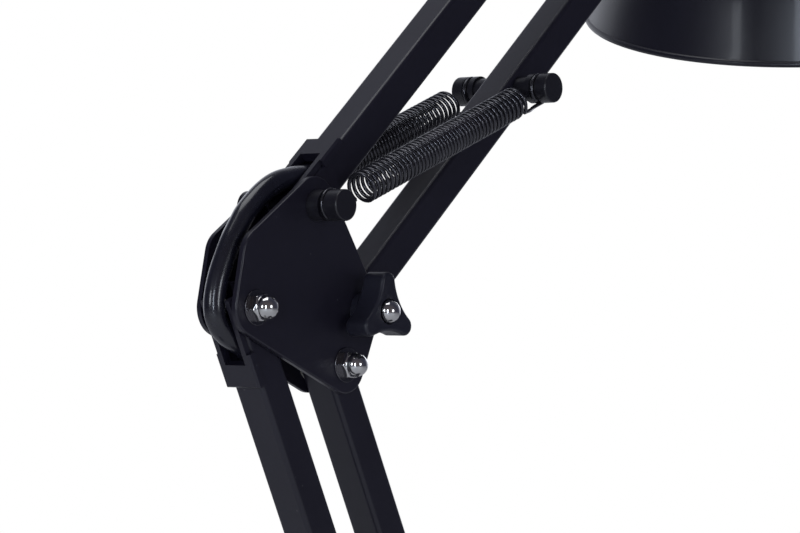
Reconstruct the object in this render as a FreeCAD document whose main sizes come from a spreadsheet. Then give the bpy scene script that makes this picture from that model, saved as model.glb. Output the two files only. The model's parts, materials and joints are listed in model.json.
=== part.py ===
import FreeCAD, Part
import Sketcher
import math
import os
import re

from FreeCAD import Placement, Rotation, Vector

# Balanced-arm desk lamp. Millimetres, +Z up, the arm reaches towards +X, and the origin is
# the middle of the base's underside. Every arm plate is parallel to the XZ plane.

driving = {
    # base
    "baseDia": 200, "baseTop": 28, "baseWall": 1.5, "baseEdge": 9, "padHigh": 2.5, "padInset": 6,
    "weightInset": 8, "weightHigh": 9, "weightHole": 44, "baseScrewRing": 70,
    "baseScrewCount": 3, "screwBite": 8, "bushDia": 24, "bushFlange": 34, "bushFlangeHigh": 1,
    "bushLong": 4.5, "spindleDia": 16, "spindleBore": 9, "spindleFit": 0.05, "turntableDia": 64,
    "turntableHigh": 4, "turntableGap": 0.4, "spindleNutHigh": 4, "spindleNutGap": 0.3,
    "baseScrewDia": 4, "baseScrewHead": 7.5, "baseScrewHeadHigh": 2.5, "baseBossDia": 9,
    # foot and the lower arm
    "footBlockLong": 56, "footBlockHigh": 16, "footPivotHigh": 60, "footRim": 9.5, "footLegRim": 7,
    "footLegOut": 21, "footScrewIn": 10, "footScrewOut": 23, "lowerLength": 360, "lowerAngle": 115.5,
    # elbow pivots, measured from the spring pin
    "knobX": 21.4, "knobZ": -33.3, "leftX": -27.5, "leftZ": -31.7, "bottomX": 14.1, "bottomZ": -50.2,
    "cornerX": -24.6, "cornerZ": -15.8, "elbowRim": 9.2, "cornerRim": 8.6,
    # upper arm and head
    "upperLength": 310, "upperAngle": 41.1, "headX": 290.6, "headZ": 225.5, "headRim": 9.2,
    "headBlockBack": 28, "headBlockLong": 20, "headBlockHigh": 20, "headBlockRim": 10.5,
    "headScrewOut": 7.2, "headScrewDia": 3, "headScrewProud": 1.2, "headScrewHigh": 1.8,
    "sheathDepth": 6, "headRoll": 9.4, "headTilt": 15.8,
    # square bars, plates and what holds them
    "barWide": 12, "barWall": 1, "barRound": 1.5, "barBeyond": 6, "plateGap": 0.5, "plateThick": 2,
    "plateRound": 0.6, "discThick": 0.4, "discDia": 11, "boltDia": 5, "pinDia": 6, "runFit": 0.05,
    "washerDia": 12.5, "washerThick": 0.5, "boltHeadProud": 2, "boltHeadHigh": 2.4, "nutFlats": 8,
    "nutHigh": 2.8, "domeRadius": 3.75, "domeNeck": 1,
    # spring pins and springs
    "springOut": 14.5, "hookSlot": 2.4, "slotDia": 6.4, "pinHeadDia": 10, "pinHeadHigh": 5.4,
    "pinEdge": 0.5, "collarDia": 10, "crossDistance": 113, "crossSleeveDia": 8.4, "crossShort": 0.8,
    "crossCollar": 2.2, "lowerCrossDistance": 135, "springDia": 10.8, "springWire": 1.3,
    "hookReach": 15, "eyeSlack": 0.15,
    # lead and its guides
    "leadDia": 7, "guideLong": 30, "guideProud": 2.2, "guideLap": 0.8, "guideSide": 1,
    "guideClear": 3.3, "guideFit": 0.1, "windowLong": 22, "windowWide": 8.4, "leadInside": 24,
    "leadHigh": 15.2, "hiddenBend": 5, "reliefLong": 34, "reliefDia": 13, "reliefTip": 9,
    "reliefFlangeHigh": 2,
    "reliefNeck": 6, "reliefTaper": 1.2, "coilX": -232, "coilY": 62, "coilInner": 24.5,
    "coilOuter": 53.5, "coilHigh": 14, "coilLift": 1, "plugLong": 36, "plugWide": 35, "plugHigh": 14,
    "plugNeck": 14, "plugPin": 4, "plugPinLong": 19, "plugPinApart": 19, "plugRound": 4,
    # knobs
    "knobDia": 25, "knobHigh": 9, "knobScoop": 24, "knobWaist": 7, "knobDomeDeep": 1.6,
    "knobBossDia": 12, "knobBossHigh": 2.5, "knobRound": 1.6, "knobLobeRound": 2.6,
    # head
    "shadeRim": 90, "shadeFar": 150, "shadeTopFar": 60, "shadeTopDia": 60, "shadeWall": 1,
    "shadeKneeRadius": 60, "shadeKneeFar": 86, "shadeHole": 40, "capDia": 46, "capFar": 30,
    "capWall": 1.4, "tongueThick": 13, "tongueWide": 16, "cheekThick": 3, "cheekGap": 0.4,
    "knuckleBack": 11, "studDia": 8, "lugBore": 4, "holderDia": 36, "holderFar": 35.5,
    "holderNeck": 10, "holderLong": 42.5, "ringDia": 50, "ringThick": 4, "ringGap": 0.1,
    "bulbDia": 56, "bulbFar": 114, "bulbCapDia": 26, "bulbSeat": 52, "bulbNeckFar": 82,
    "bulbWall": 1, "buttonDia": 9, "buttonHigh": 4.5, "buttonInside": 3, "buttonOut": 15,
    "buttonRound": 1,
}

doc = FreeCAD.newDocument("DeskLamp")
sheet = doc.addObject("Spreadsheet::Sheet", "Sizes")
for row, (word, number) in enumerate(driving.items(), start=1):
    sheet.set(f"A{row}", word)
    sheet.set(f"B{row}", str(number))
    sheet.setAlias(f"B{row}", word)
doc.recompute()

nodes = []


def size(word):
    return float(sheet.get(word))


def bind(thing, **formulas):
    """Ties properties to formulas over the sheet's words."""
    for name, formula in formulas.items():
        full = re.sub(r"[A-Za-z]\w+", lambda m: ("Sizes." if m[0] in driving else "") + m[0], formula)
        thing.setExpression(name, full)


def node(thing, label):
    thing.Label = label
    nodes.append(thing)
    return thing


def place(thing, at, turn=None):
    thing.Placement = Placement(Vector(*at), turn or Rotation())
    return thing


# ---- where things are ----

def along(degrees, distance):
    return Vector(distance * math.cos(math.radians(degrees)), 0, distance * math.sin(math.radians(degrees)))


def lean(degrees):
    """Turns a piece made along +X so that it runs at this angle above +X."""
    return Rotation(Vector(0, 1, 0), -degrees)


halfSpan = (size("bottomX") - size("leftX")) / 2
spanDrop = size("bottomZ") - size("leftZ")
footRight = Vector(halfSpan, 0, size("footPivotHigh"))
footLeft = Vector(-halfSpan, 0, size("footPivotHigh") - spanDrop)
elbowLeft = footLeft + along(size("lowerAngle"), size("lowerLength"))
elbowPin = elbowLeft - Vector(size("leftX"), 0, size("leftZ"))
elbowKnob = elbowPin + Vector(size("knobX"), 0, size("knobZ"))
elbowLow = elbowPin + Vector(size("bottomX"), 0, size("bottomZ"))
headLeft = elbowPin + along(size("upperAngle"), size("upperLength"))
headRight = elbowKnob + along(size("upperAngle"), size("upperLength"))
headPivot = elbowPin + Vector(size("headX"), 0, size("headZ"))
crossUpper = elbowKnob + along(size("upperAngle"), size("crossDistance"))
crossLower = footRight + along(size("lowerAngle"), size("lowerCrossDistance"))
headTurn = Rotation(Vector(1, 0, 0), size("headRoll")) * Rotation(Vector(0, 1, 0), -size("headTilt"))
rollTurn = Rotation(Vector(1, 0, 0), size("headRoll"))

plateInner = size("barWide") / 2 + size("plateGap")
plateOuter = plateInner + size("plateThick")
washerOuter = plateOuter + size("washerThick")
boltHole, pinHole = "boltDia / 2 + runFit", "pinDia / 2 + runFit"


# ---- building blocks ----

def cylinder(radius, height, at=(0, 0, 0), turn=None):
    thing = doc.addObject("Part::Cylinder", "Cylinder")
    bind(thing, Radius=radius, Height=height)
    return place(thing, at, turn)


def box(long, wide, high, at=(0, 0, 0), turn=None):
    thing = doc.addObject("Part::Box", "Box")
    bind(thing, Length=long, Width=wide, Height=high)
    return place(thing, at, turn)


def cut(base, tool):
    thing = doc.addObject("Part::Cut", "Cut")
    thing.Base, thing.Tool = base, tool
    return thing


def fuse(*things):
    thing = doc.addObject("Part::MultiFuse", "Fuse")
    thing.Shapes = list(things)
    return thing


def group(*things):
    """Separate solids that share one node."""
    thing = doc.addObject("Part::Compound", "Set")
    thing.Links = list(things)
    return thing


towardFront = Rotation(Vector(1, 0, 0), 90)     # a cylinder's +Z points to -Y
towardRear = Rotation(Vector(1, 0, 0), -90)


def across(radius, height, x, z, y):
    """A cylinder through the plates: from y towards the rear."""
    return cylinder(radius, height, (x, y, z), towardRear)


def plane(body, role):
    return [o for o in body.Origin.OriginFeatures if o.Role == role][0]


def sketchOn(body, name, role):
    sketch = body.newObject("Sketcher::SketchObject", name)
    sketch.AttachmentSupport = [(plane(body, role), "")]
    sketch.MapMode = "FlatFace"
    return sketch


def formulaValue(formula):
    """The number a sum such as "knobX + elbowRim" gives with the sheet's values."""
    total = 0.0
    for sign, term in re.findall(r"([+-]?)\s*([\w.]+(?:\s*/\s*[\d.]+)?)", formula):
        word, _, divisor = (piece.strip() for piece in term.partition("/"))
        number = size(word) if word in driving else float(word)
        total += (-1 if sign == "-" else 1) * number / (float(divisor) if divisor else 1)
    return total


def negated(formula):
    """The same sum with every sign turned round."""
    return "0 - " + formula.replace("+", "~").replace("-", "+").replace("~", "-")


def fix(sketch, geometry, point, x, y):
    """Holds a sketch point at two bound coordinates."""
    for kind, formula in (("DistanceX", x), ("DistanceY", y)):
        index = sketch.addConstraint(Sketcher.Constraint(kind, -1, 1, geometry, point, formulaValue(formula)))
        bind(sketch, **{f"Constraints[{index}]": formula})


def holdRadius(sketch, geometry, formula):
    index = sketch.addConstraint(Sketcher.Constraint("Radius", geometry, formulaValue(formula)))
    bind(sketch, **{f"Constraints[{index}]": formula})


def polygonSketch(body, name, role, corners):
    """A closed outline of straight edges, each corner at a bound x and y."""
    sketch = sketchOn(body, name, role)
    points = [Vector(formulaValue(x), formulaValue(y), 0) for x, y in corners]
    count = len(points)
    for i in range(count):
        sketch.addGeometry(Part.LineSegment(points[i], points[(i + 1) % count]), False)
    for i in range(count):
        sketch.addConstraint(Sketcher.Constraint("Coincident", i, 2, (i + 1) % count, 1))
    for i, (x, y) in enumerate(corners):
        fix(sketch, i, 1, x, y)
    return sketch


def hullSketch(body, name, rims, holes):
    """Round corners about the pivots, counter-clockwise, joined by straight tangent edges."""
    sketch = sketchOn(body, name, "XZ_Plane")
    round_ = [(Vector(formulaValue(x), formulaValue(z), 0), formulaValue(r)) for x, z, r in rims]
    count = len(round_)
    starts, ends = [], []
    for i in range(count):
        (c1, r1), (c2, r2) = round_[i], round_[(i + 1) % count]
        way = c2 - c1
        distance = way.Length
        way.normalize()
        tilt = (r1 - r2) / distance
        out = way * tilt + Vector(way.y, -way.x, 0) * math.sqrt(1 - tilt * tilt)
        starts.append(c1 + out * r1)
        ends.append(c2 + out * r2)
    for i in range(count):
        sketch.addGeometry(Part.LineSegment(starts[i], ends[i]), False)
    for i in range(count):
        centre, radius = round_[i]
        first, last = ends[i - 1] - centre, starts[i] - centre
        begin, finish = math.atan2(first.y, first.x), math.atan2(last.y, last.x)
        if finish < begin:
            finish += 2 * math.pi
        circle = Part.Circle(centre, Vector(0, 0, 1), radius)
        sketch.addGeometry(Part.ArcOfCircle(circle, begin, finish), False)
    for i in range(count):
        sketch.addConstraint(Sketcher.Constraint("Tangent", count + i, 2, i, 1))
        sketch.addConstraint(Sketcher.Constraint("Tangent", i, 2, count + (i + 1) % count, 1))
    for i, (x, z, r) in enumerate(rims):
        fix(sketch, count + i, 3, x, z)
        holdRadius(sketch, count + i, r)
    for x, z, r in holes:
        hole = Part.Circle(Vector(formulaValue(x), formulaValue(z), 0), Vector(0, 0, 1), formulaValue(r))
        index = sketch.addGeometry(hole, False)
        fix(sketch, index, 3, x, z)
        holdRadius(sketch, index, r)
    return sketch


def pad(body, sketch, length):
    feature = body.newObject("PartDesign::Pad", "Pad")
    feature.Profile = sketch
    bind(feature, Length=length)
    doc.recompute()
    return feature


def revolve(body, sketch):
    feature = body.newObject("PartDesign::Revolution", "Revolution")
    feature.Profile = sketch
    feature.ReferenceAxis = (sketch, ["V_Axis"])
    feature.Angle = 360
    doc.recompute()
    return feature


def roundOff(body, feature, radius, wanted):
    """Fillets the edges that the test picks."""
    names = [f"Edge{i}" for i, edge in enumerate(feature.Shape.Edges, start=1) if wanted(edge)]
    fillet = body.newObject("PartDesign::Fillet", "Fillet")
    fillet.Base = (feature, names)
    bind(fillet, Radius=radius)
    body.Tip = fillet
    doc.recompute()
    return fillet


def plateBody(label, rims, holes, at, outward):
    """One flat plate with a softened outer edge. outward is -1 on the front side, 1 on the rear."""
    body = doc.addObject("PartDesign::Body", "Body")
    sketch = hullSketch(body, "Outline", rims, holes)
    solid = pad(body, sketch, "plateThick")
    face = -size("plateThick") if outward < 0 else 0.0

    def outer(edge):
        middle = edge.valueAt((edge.FirstParameter + edge.LastParameter) / 2)
        onFace = abs(middle.y - face) < 1e-6 and abs(edge.Vertexes[0].Point.y - face) < 1e-6
        return onFace and len(edge.Vertexes) == 2
    roundOff(body, solid, "plateRound", outer)
    y = -plateInner if outward < 0 else plateOuter
    place(body, (at.x, y, at.z))
    return node(body, label)


def turnedBody(label, corners, at=(0, 0, 0), turn=None, radius=None, wanted=None):
    """A piece turned about its own Z axis from a straight-edged outline."""
    body = doc.addObject("PartDesign::Body", "Body")
    sketch = polygonSketch(body, "Outline", "XZ_Plane", corners)
    solid = revolve(body, sketch)
    if radius:
        roundOff(body, solid, radius, wanted)
    place(body, at, turn)
    return node(body, label)


def squareTube(label, length, pivots, window):
    """A square bar along +X from its first pivot, with pivot holes through both sides.

    window is the list of places where the lead comes out of the +Z face: the end of the bar
    that each one is at, 0 for the first pivot and 1 for the last.
    """
    outer = box(f"{length} + barBeyond * 2", "barWide", "barWide")
    place(outer, (-size("barBeyond"), -size("barWide") / 2, -size("barWide") / 2))
    edges = doc.addObject("Part::Fillet", "Rounded")
    edges.Base = outer
    doc.recompute()
    rounding = size("barRound")
    edges.Edges = [(i, rounding, rounding) for i, e in enumerate(outer.Shape.Edges, start=1)
                   if abs(e.tangentAt(e.FirstParameter).x) > 0.9]
    bore = box(f"{length} + barBeyond * 2 + 2", "barWide - barWall * 2", "barWide - barWall * 2")
    inner = size("barWide") / 2 - size("barWall")
    place(bore, (-size("barBeyond") - 1, -inner, -inner))
    tools = [bore]
    for distance, diameter in pivots:
        tools.append(across(diameter, "barWide + 2", distance, 0, -size("barWide") / 2 - 1))
    reach = size("windowLong") - size("barBeyond")
    for end in window:
        start = -size("barBeyond") - 1 if end == 0 else end - reach
        tool = box("windowLong + 1", "windowWide", "barWall + 2")
        place(tool, (start, -size("windowWide") / 2, size("barWide") / 2 - size("barWall") - 1))
        tools.append(tool)
    return node(cut(edges, fuse(*tools)), label)


def leadGuide(at, turn, rim):
    """A cap over the bar's +Z face round the window. Its closed end is away from the pivot.

    Its cheeks begin past the plates, whose rim about the pivot is given.
    """
    half = size("barWide") / 2
    shell = box("guideLong", "barWide + guideSide * 2 + guideFit * 2", "guideProud + guideLap")
    side = half + size("guideSide") + size("guideFit")
    place(shell, (-size("barBeyond"), -side, half - size("guideLap")))
    seat = box("guideLong + 2", "barWide + guideFit * 2", "guideLap + guideFit + 1")
    place(seat, (-size("barBeyond") - 1, -half - size("guideFit"), half - size("guideLap") - 1))
    opening = box("windowLong + 1", "windowWide", "guideProud + 4")
    place(opening, (-size("barBeyond") - 1, -size("windowWide") / 2, half - 2))
    tools = [opening]
    free = f"barBeyond + {rim} + guideClear + 1"
    for y in (half, -side - 1):
        trim = box(free, "guideSide + guideFit + 1", "guideProud + guideLap + 2")
        tools.append(place(trim, (-size("barBeyond") - 1, y, half - size("guideLap") - 1)))
    whole = cut(cut(shell, seat), fuse(*tools))
    doc.recompute()
    softened = doc.addObject("Part::Chamfer", "Softened")
    softened.Base = whole
    top, width = half + size("guideProud"), size("guideSide") * 0.6

    def onRim(point):
        return abs(point.z - top) < 1e-6 and abs(abs(point.y) - side) < 1e-6
    softened.Edges = [(i, width, width) for i, e in enumerate(whole.Shape.Edges, start=1)
                      if all(onRim(v.Point) for v in e.Vertexes)]
    return place(softened, at, turn)


def acorn(x, z, y, outward):
    """A domed nut whose flat sits at y and whose dome points outward."""
    turn = towardFront if outward < 0 else towardRear
    hexagon = doc.addObject("Part::Prism", "Hexagon")
    hexagon.Polygon = 6
    bind(hexagon, Circumradius="nutFlats / 2 / cos(30)", Height="nutHigh")
    place(hexagon, (x, y, z), turn)
    neck = cylinder("domeRadius", "nutHigh + domeNeck", (x, y, z), turn)
    dome = doc.addObject("Part::Sphere", "Dome")
    bind(dome, Radius="domeRadius")
    place(dome, (x, y + outward * (size("nutHigh") + size("domeNeck")), z))
    thread = cylinder(boltHole, "nutHigh", (x, y, z), turn)
    return cut(fuse(hexagon, neck, dome), thread)


def throughBolt(x, z, seat):
    """A pan-headed bolt from the rear, its thread ending inside the nut on the front."""
    head = cylinder("boltDia / 2 + boltHeadProud", "boltHeadHigh", (x, seat, z), towardRear)
    shank = cylinder("boltDia / 2", f"{2 * seat} + nutHigh - runFit", (x, seat, z), towardFront)
    return fuse(head, shank)


def washers(pivots, sides):
    """Flat washers outside the plates."""
    rings = []
    for pivot in pivots:
        for side in sides:
            y = plateOuter if side > 0 else -washerOuter
            ring = across("washerDia / 2", "washerThick", pivot.x, pivot.z, y)
            rings.append(cut(ring, across(boltHole, "washerThick + 2", pivot.x, pivot.z, y - 1)))
    return rings


def discs(pivots):
    """Thin friction discs between the bars and the plates."""
    rings = []
    for pivot in pivots:
        for y in (plateInner - size("discThick"), -plateInner):
            ring = across("discDia / 2", "discThick", pivot.x, pivot.z, y)
            rings.append(cut(ring, across(pinHole, "discThick + 2", pivot.x, pivot.z, y - 1)))
    return rings


def springPin(label, pivot):
    """The pivot pin that the springs hook on: a collar, a slot and a head at each end."""
    slotIn, slotOut = "springOut - hookSlot / 2", "springOut + hookSlot / 2"
    tip = slotOut + " + pinHeadHigh"
    side = [("pinDia / 2", f"{plateOuter} + runFit"), ("collarDia / 2", f"{plateOuter} + runFit"),
            ("collarDia / 2", slotIn), ("slotDia / 2", slotIn), ("slotDia / 2", slotOut),
            ("pinHeadDia / 2", slotOut), ("pinHeadDia / 2", tip)]
    return pinBody(label, pivot, side, tip)


def crossPin(label, pivot):
    """The pin through a bar that carries the other ends of the springs."""
    slotIn, slotOut = "springOut - hookSlot / 2", "springOut + hookSlot / 2"
    tip = slotOut + " + pinHeadHigh - crossShort"
    side = [("crossSleeveDia / 2", "springOut - hookSlot / 2 - crossCollar"),
            ("collarDia / 2", "springOut - hookSlot / 2 - crossCollar"), ("collarDia / 2", slotIn),
            ("slotDia / 2", slotIn), ("slotDia / 2", slotOut), ("pinHeadDia / 2", slotOut),
            ("pinHeadDia / 2", tip)]
    return pinBody(label, pivot, side, tip)


def pinBody(label, pivot, side, tip):
    """Turns one pin from the outline of its front half, the same on both sides."""
    far = [(r, negated(y)) for r, y in side[::-1]]
    corners = [("0", negated(tip)), *far, *side, ("0", tip)]
    last = formulaValue(tip)

    def endRim(edge):
        return hasattr(edge.Curve, "Radius") and abs(abs(edge.Vertexes[0].Point.z) - last) < 1e-4
    return turnedBody(label, corners, (pivot.x, 0, pivot.z), towardRear, "pinEdge", endRim)


def tube(label, points, radii, diameter):
    """A round lead along straight runs joined by tangent arcs."""
    corners = [Vector(*p) for p in points]
    edges, here = [], corners[0]
    for i in range(1, len(corners) - 1):
        back = (corners[i - 1] - corners[i]).normalize()
        on = (corners[i + 1] - corners[i]).normalize()
        half = (math.pi - math.acos(max(-1, min(1, back * on)))) / 2
        reach = radii[i - 1] * math.tan(half)
        first, last = corners[i] + back * reach, corners[i] + on * reach
        inward = (back + on).normalize()
        middle = corners[i] + inward * (radii[i - 1] / math.cos(half) - radii[i - 1])
        if (first - here).Length > 1e-6:
            edges.append(Part.LineSegment(here, first).toShape())
        edges.append(Part.Arc(first, middle, last).toShape())
        here = last
    edges.append(Part.LineSegment(here, corners[-1]).toShape())
    path = Part.Wire(edges)
    length = path.Length
    ring = Part.Wire(Part.Circle(corners[0], corners[1] - corners[0], diameter / 2).toShape())
    solid = path.makePipeShell([ring], True, False, 2)
    solid = Part.Solid(solid) if solid.ShapeType != "Solid" else solid
    section = math.pi * diameter * diameter / 4
    print(f"{label}: length {length:.1f}, volume ratio {solid.Volume / section / length:.4f}, radii",
          " ".join(f"{r:.1f}" for r in radii))
    thing = doc.addObject("Part::Feature", "Tube")
    thing.Shape = solid
    return node(thing, label)


def easyRadii(points):
    """The widest tangent arc at each point of a route that uses 0.45 of its shorter run."""
    corners = [Vector(*p) for p in points]
    radii = []
    for i in range(1, len(corners) - 1):
        back, on = corners[i - 1] - corners[i], corners[i + 1] - corners[i]
        turn = math.pi - back.getAngle(on)
        radii.append(0.45 * min(back.Length, on.Length) / math.tan(turn / 2))
    return radii


# ---- base ----

def atRadius(radius, z):
    """Picks the round edges of this radius at this height."""
    def wanted(edge):
        curve = edge.Curve
        if not hasattr(curve, "Radius"):
            return False
        return abs(curve.Radius - radius) < 1e-4 and abs(edge.Vertexes[0].Point.z - z) < 1e-4
    return wanted


def makeBase():
    rim, top, wall = size("baseDia") / 2, size("baseTop"), size("baseWall")
    weightTop = size("padHigh") + size("weightHigh")
    body = doc.addObject("PartDesign::Body", "CoverShell")
    outline = polygonSketch(body, "Outline", "XZ_Plane", [
        ("bushDia / 2 + runFit", "baseTop"), ("bushDia / 2 + runFit", "baseTop - baseWall"),
        ("baseDia / 2 - baseWall", "baseTop - baseWall"), ("baseDia / 2 - baseWall", "padHigh / 2"),
        ("baseDia / 2", "padHigh / 2"), ("baseDia / 2", "baseTop")])
    solid = revolve(body, outline)
    solid = roundOff(body, solid, "baseEdge", atRadius(rim, top))
    roundOff(body, solid, "baseEdge - baseWall", atRadius(rim - wall, top - wall))
    shell = [body]
    holes, screws, weightHoles = [], [], []
    count = round(size("baseScrewCount"))
    for i in range(count):
        spot = along(360 / count * i, size("baseScrewRing"))
        x, y = spot.x, spot.z
        shell.append(cylinder("baseBossDia / 2", "baseTop - baseWall / 2 - padHigh - weightHigh",
                              (x, y, weightTop)))
        holes.append(cylinder("baseScrewDia / 2 + runFit", "screwBite + baseScrewHeadHigh",
                              (x, y, weightTop - 0.5)))
        for radius, deep in (("baseScrewDia / 2 + runFit * 4", "weightHigh + 2"),
                             ("baseScrewHead / 2 + runFit * 4", "baseScrewHeadHigh + 1.2")):
            weightHoles.append(cylinder(radius, deep, (x, y, size("padHigh") - 1)))
        head = cylinder("baseScrewHead / 2", "baseScrewHeadHigh", (x, y, size("padHigh") + 0.1))
        shank = cylinder("baseScrewDia / 2", "weightHigh + screwBite", (x, y, size("padHigh") + 0.1))
        screws.append(fuse(head, shank))
    holes.append(cylinder("reliefTip / 2 + runFit", "baseWall * 8", (-rim - wall, 0, size("leadHigh")),
                          Rotation(Vector(0, 1, 0), 90)))
    node(cut(fuse(*shell), fuse(*holes)), "base_cover")
    node(group(*screws), "base_screws")
    disc = cylinder("baseDia / 2 - weightInset", "weightHigh", (0, 0, size("padHigh")))
    weightHoles.append(cylinder("weightHole / 2", "weightHigh + 2", (0, 0, size("padHigh") - 1)))
    node(cut(disc, fuse(*weightHoles)), "base_weight")
    node(cylinder("baseDia / 2 - padInset", "padHigh"), "base_pad")
    turnedBody("swivel_bush", [
        ("spindleDia / 2 + spindleFit", "0 - bushLong"), ("bushDia / 2", "0 - bushLong"),
        ("bushDia / 2", "0"), ("bushFlange / 2", "0"), ("bushFlange / 2", "bushFlangeHigh"),
        ("spindleDia / 2 + spindleFit", "bushFlangeHigh")], (0, 0, top))


turntableLow = size("baseTop") + size("bushFlangeHigh") + size("turntableGap")
blockLow = turntableLow + size("turntableHigh")
blockMiddle = blockLow + size("footBlockHigh") / 2
spindleNutLow = size("baseTop") - size("bushLong") - size("spindleNutGap") - size("spindleNutHigh")


def makeFoot():
    body = doc.addObject("PartDesign::Body", "Turntable")
    outline = polygonSketch(body, "Outline", "XZ_Plane", [
        ("spindleBore / 2", "0 - bushFlangeHigh - turntableGap - bushLong - spindleNutGap - spindleNutHigh"),
        ("spindleDia / 2", "0 - bushFlangeHigh - turntableGap - bushLong - spindleNutGap - spindleNutHigh"),
        ("spindleDia / 2", "0"), ("turntableDia / 2", "0"), ("turntableDia / 2", "turntableHigh"),
        ("spindleBore / 2", "turntableHigh")])
    solid = revolve(body, outline)
    roundOff(body, solid, "plateRound", atRadius(size("turntableDia") / 2, size("turntableHigh")))
    place(body, (0, 0, turntableLow))
    node(body, "foot_turntable")
    ring = cylinder("bushDia / 2 - 0.5", "spindleNutHigh", (0, 0, spindleNutLow))
    bore = cylinder("spindleDia / 2 + runFit", "spindleNutHigh + 2", (0, 0, spindleNutLow - 1))
    spindleNut = cut(ring, bore)
    half = size("footBlockLong") / 2
    block = box("footBlockLong", "barWide + plateGap * 2", "footBlockHigh", (-half, -plateInner, blockLow))
    hollow = box("footBlockLong / 4 + spindleBore / 2", "spindleBore",
                 "footBlockHigh / 2 + leadDia / 2 + 1.7", (-half / 2, -size("spindleBore") / 2, blockLow - 1))
    bores = [hollow, cylinder("leadDia / 2 + 0.7", "footBlockLong / 2 + 1", (-half - 1, 0, blockMiddle),
                      Rotation(Vector(0, 1, 0), 90)),
             cylinder("spindleBore / 2", "footBlockHigh / 2 + 1", (0, 0, blockLow - 1))]
    bolts = [throughBolt(footRight.x, footRight.z, washerOuter)]
    nuts = [spindleNut, acorn(footRight.x, footRight.z, -washerOuter, -1)]
    for x in (size("footScrewIn"), size("footScrewOut")):
        bores.append(across(boltHole, "barWide + plateGap * 2 + 2", x, blockMiddle, -plateInner - 1))
        bolts.append(throughBolt(x, blockMiddle, plateOuter))
        nuts.append(acorn(x, blockMiddle, -plateOuter, -1))
    node(cut(block, fuse(*bores)), "foot_block")
    node(group(*bolts), "foot_bolts")
    node(group(*nuts), "foot_nuts")
    rims = [("0 - footLegOut", f"{blockMiddle}", "footLegRim"),
            ("footLegOut", f"{blockMiddle}", "footLegRim"),
            (f"{footRight.x}", "footPivotHigh", "footRim"), (f"{footLeft.x}", f"{footLeft.z}", "footRim")]
    bolt = boltHole
    holes = [(f"{footLeft.x}", f"{footLeft.z}", pinHole), (f"{footRight.x}", "footPivotHigh", bolt),
             ("footScrewIn", f"{blockMiddle}", bolt), ("footScrewOut", f"{blockMiddle}", bolt)]
    plateBody("foot_plate_front", rims, holes, Vector(0, 0, 0), -1)
    plateBody("foot_plate_rear", rims, holes, Vector(0, 0, 0), 1)
    springPin("foot_spring_pin", footLeft)
    node(group(*washers([footRight], (-1, 1)), *discs([footLeft, footRight])), "foot_washers")


# ---- arms ----

def makeLowerArm():
    lowerTurn, span = lean(size("lowerAngle")), size("lowerLength")
    place(squareTube("lower_left_bar", "lowerLength", [(0, pinHole), (span, boltHole)],
                     [0, span]), footLeft, lowerTurn)
    place(squareTube("lower_right_bar", "lowerLength",
                     [(0, boltHole), (span, boltHole),
                      (size("lowerCrossDistance"), "crossSleeveDia / 2 + runFit")], []), footRight, lowerTurn)
    crossPin("lower_spring_bar", crossLower)
    turned = lowerTurn * Rotation(Vector(0, 0, 1), 180)
    node(group(leadGuide(footLeft, lowerTurn, "footRim"), leadGuide(elbowLeft, turned, "elbowRim")),
         "lower_lead_guides")
    inside = size("leadInside")
    lead = cylinder("leadDia / 2", "lowerLength - leadInside * 2")
    place(lead, footLeft + along(size("lowerAngle"), inside), lowerTurn * Rotation(Vector(0, 1, 0), 90))
    node(lead, "lead_in_lower_bar")


def makeElbow():
    rims = [("leftX", "leftZ", "elbowRim"), ("bottomX", "bottomZ", "elbowRim"),
            ("knobX", "knobZ", "elbowRim"),
            ("0", "0", "elbowRim"), ("cornerX", "cornerZ", "cornerRim")]
    holes = [("leftX", "leftZ", boltHole), ("bottomX", "bottomZ", boltHole),
             ("knobX", "knobZ", boltHole), ("0", "0", pinHole)]
    plateBody("elbow_plate_front", rims, holes, elbowPin, -1)
    plateBody("elbow_plate_rear", rims, holes, elbowPin, 1)
    springPin("elbow_spring_pin", elbowPin)
    bolts = [throughBolt(p.x, p.z, washerOuter) for p in (elbowLeft, elbowLow)]
    bolts.append(knobBolt(elbowKnob, washerOuter, Rotation()))
    node(group(*bolts), "elbow_bolts")
    node(group(*[acorn(p.x, p.z, -washerOuter, -1) for p in (elbowLeft, elbowLow)]), "elbow_nuts")
    node(group(*washers([elbowLeft, elbowLow, elbowKnob], (-1, 1)),
               *discs([elbowPin, elbowKnob, elbowLeft, elbowLow])), "elbow_washers")
    handKnob("elbow_knob", elbowKnob, washerOuter, Rotation())


def knobBolt(pivot, seat, turn):
    """The bolt that a hand knob clamps, with a domed end that shows in the knob's face."""
    head = cylinder("boltDia / 2 + boltHeadProud", "boltHeadHigh", (0, seat, 0), towardRear)
    reach = f"{2 * seat} + knobBossHigh + knobHigh - knobDomeDeep"
    shank = cylinder("boltDia / 2", reach, (0, seat, 0), towardFront)
    face = -seat - size("knobBossHigh") - size("knobHigh")
    collar = cylinder("domeRadius", "knobDomeDeep", (0, face + size("knobDomeDeep"), 0), towardFront)
    dome = doc.addObject("Part::Sphere", "Dome")
    dome.Angle1 = 0
    bind(dome, Radius="domeRadius")
    place(dome, (0, face, 0), towardFront)
    return place(fuse(head, shank, collar, dome), pivot, turn)


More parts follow.
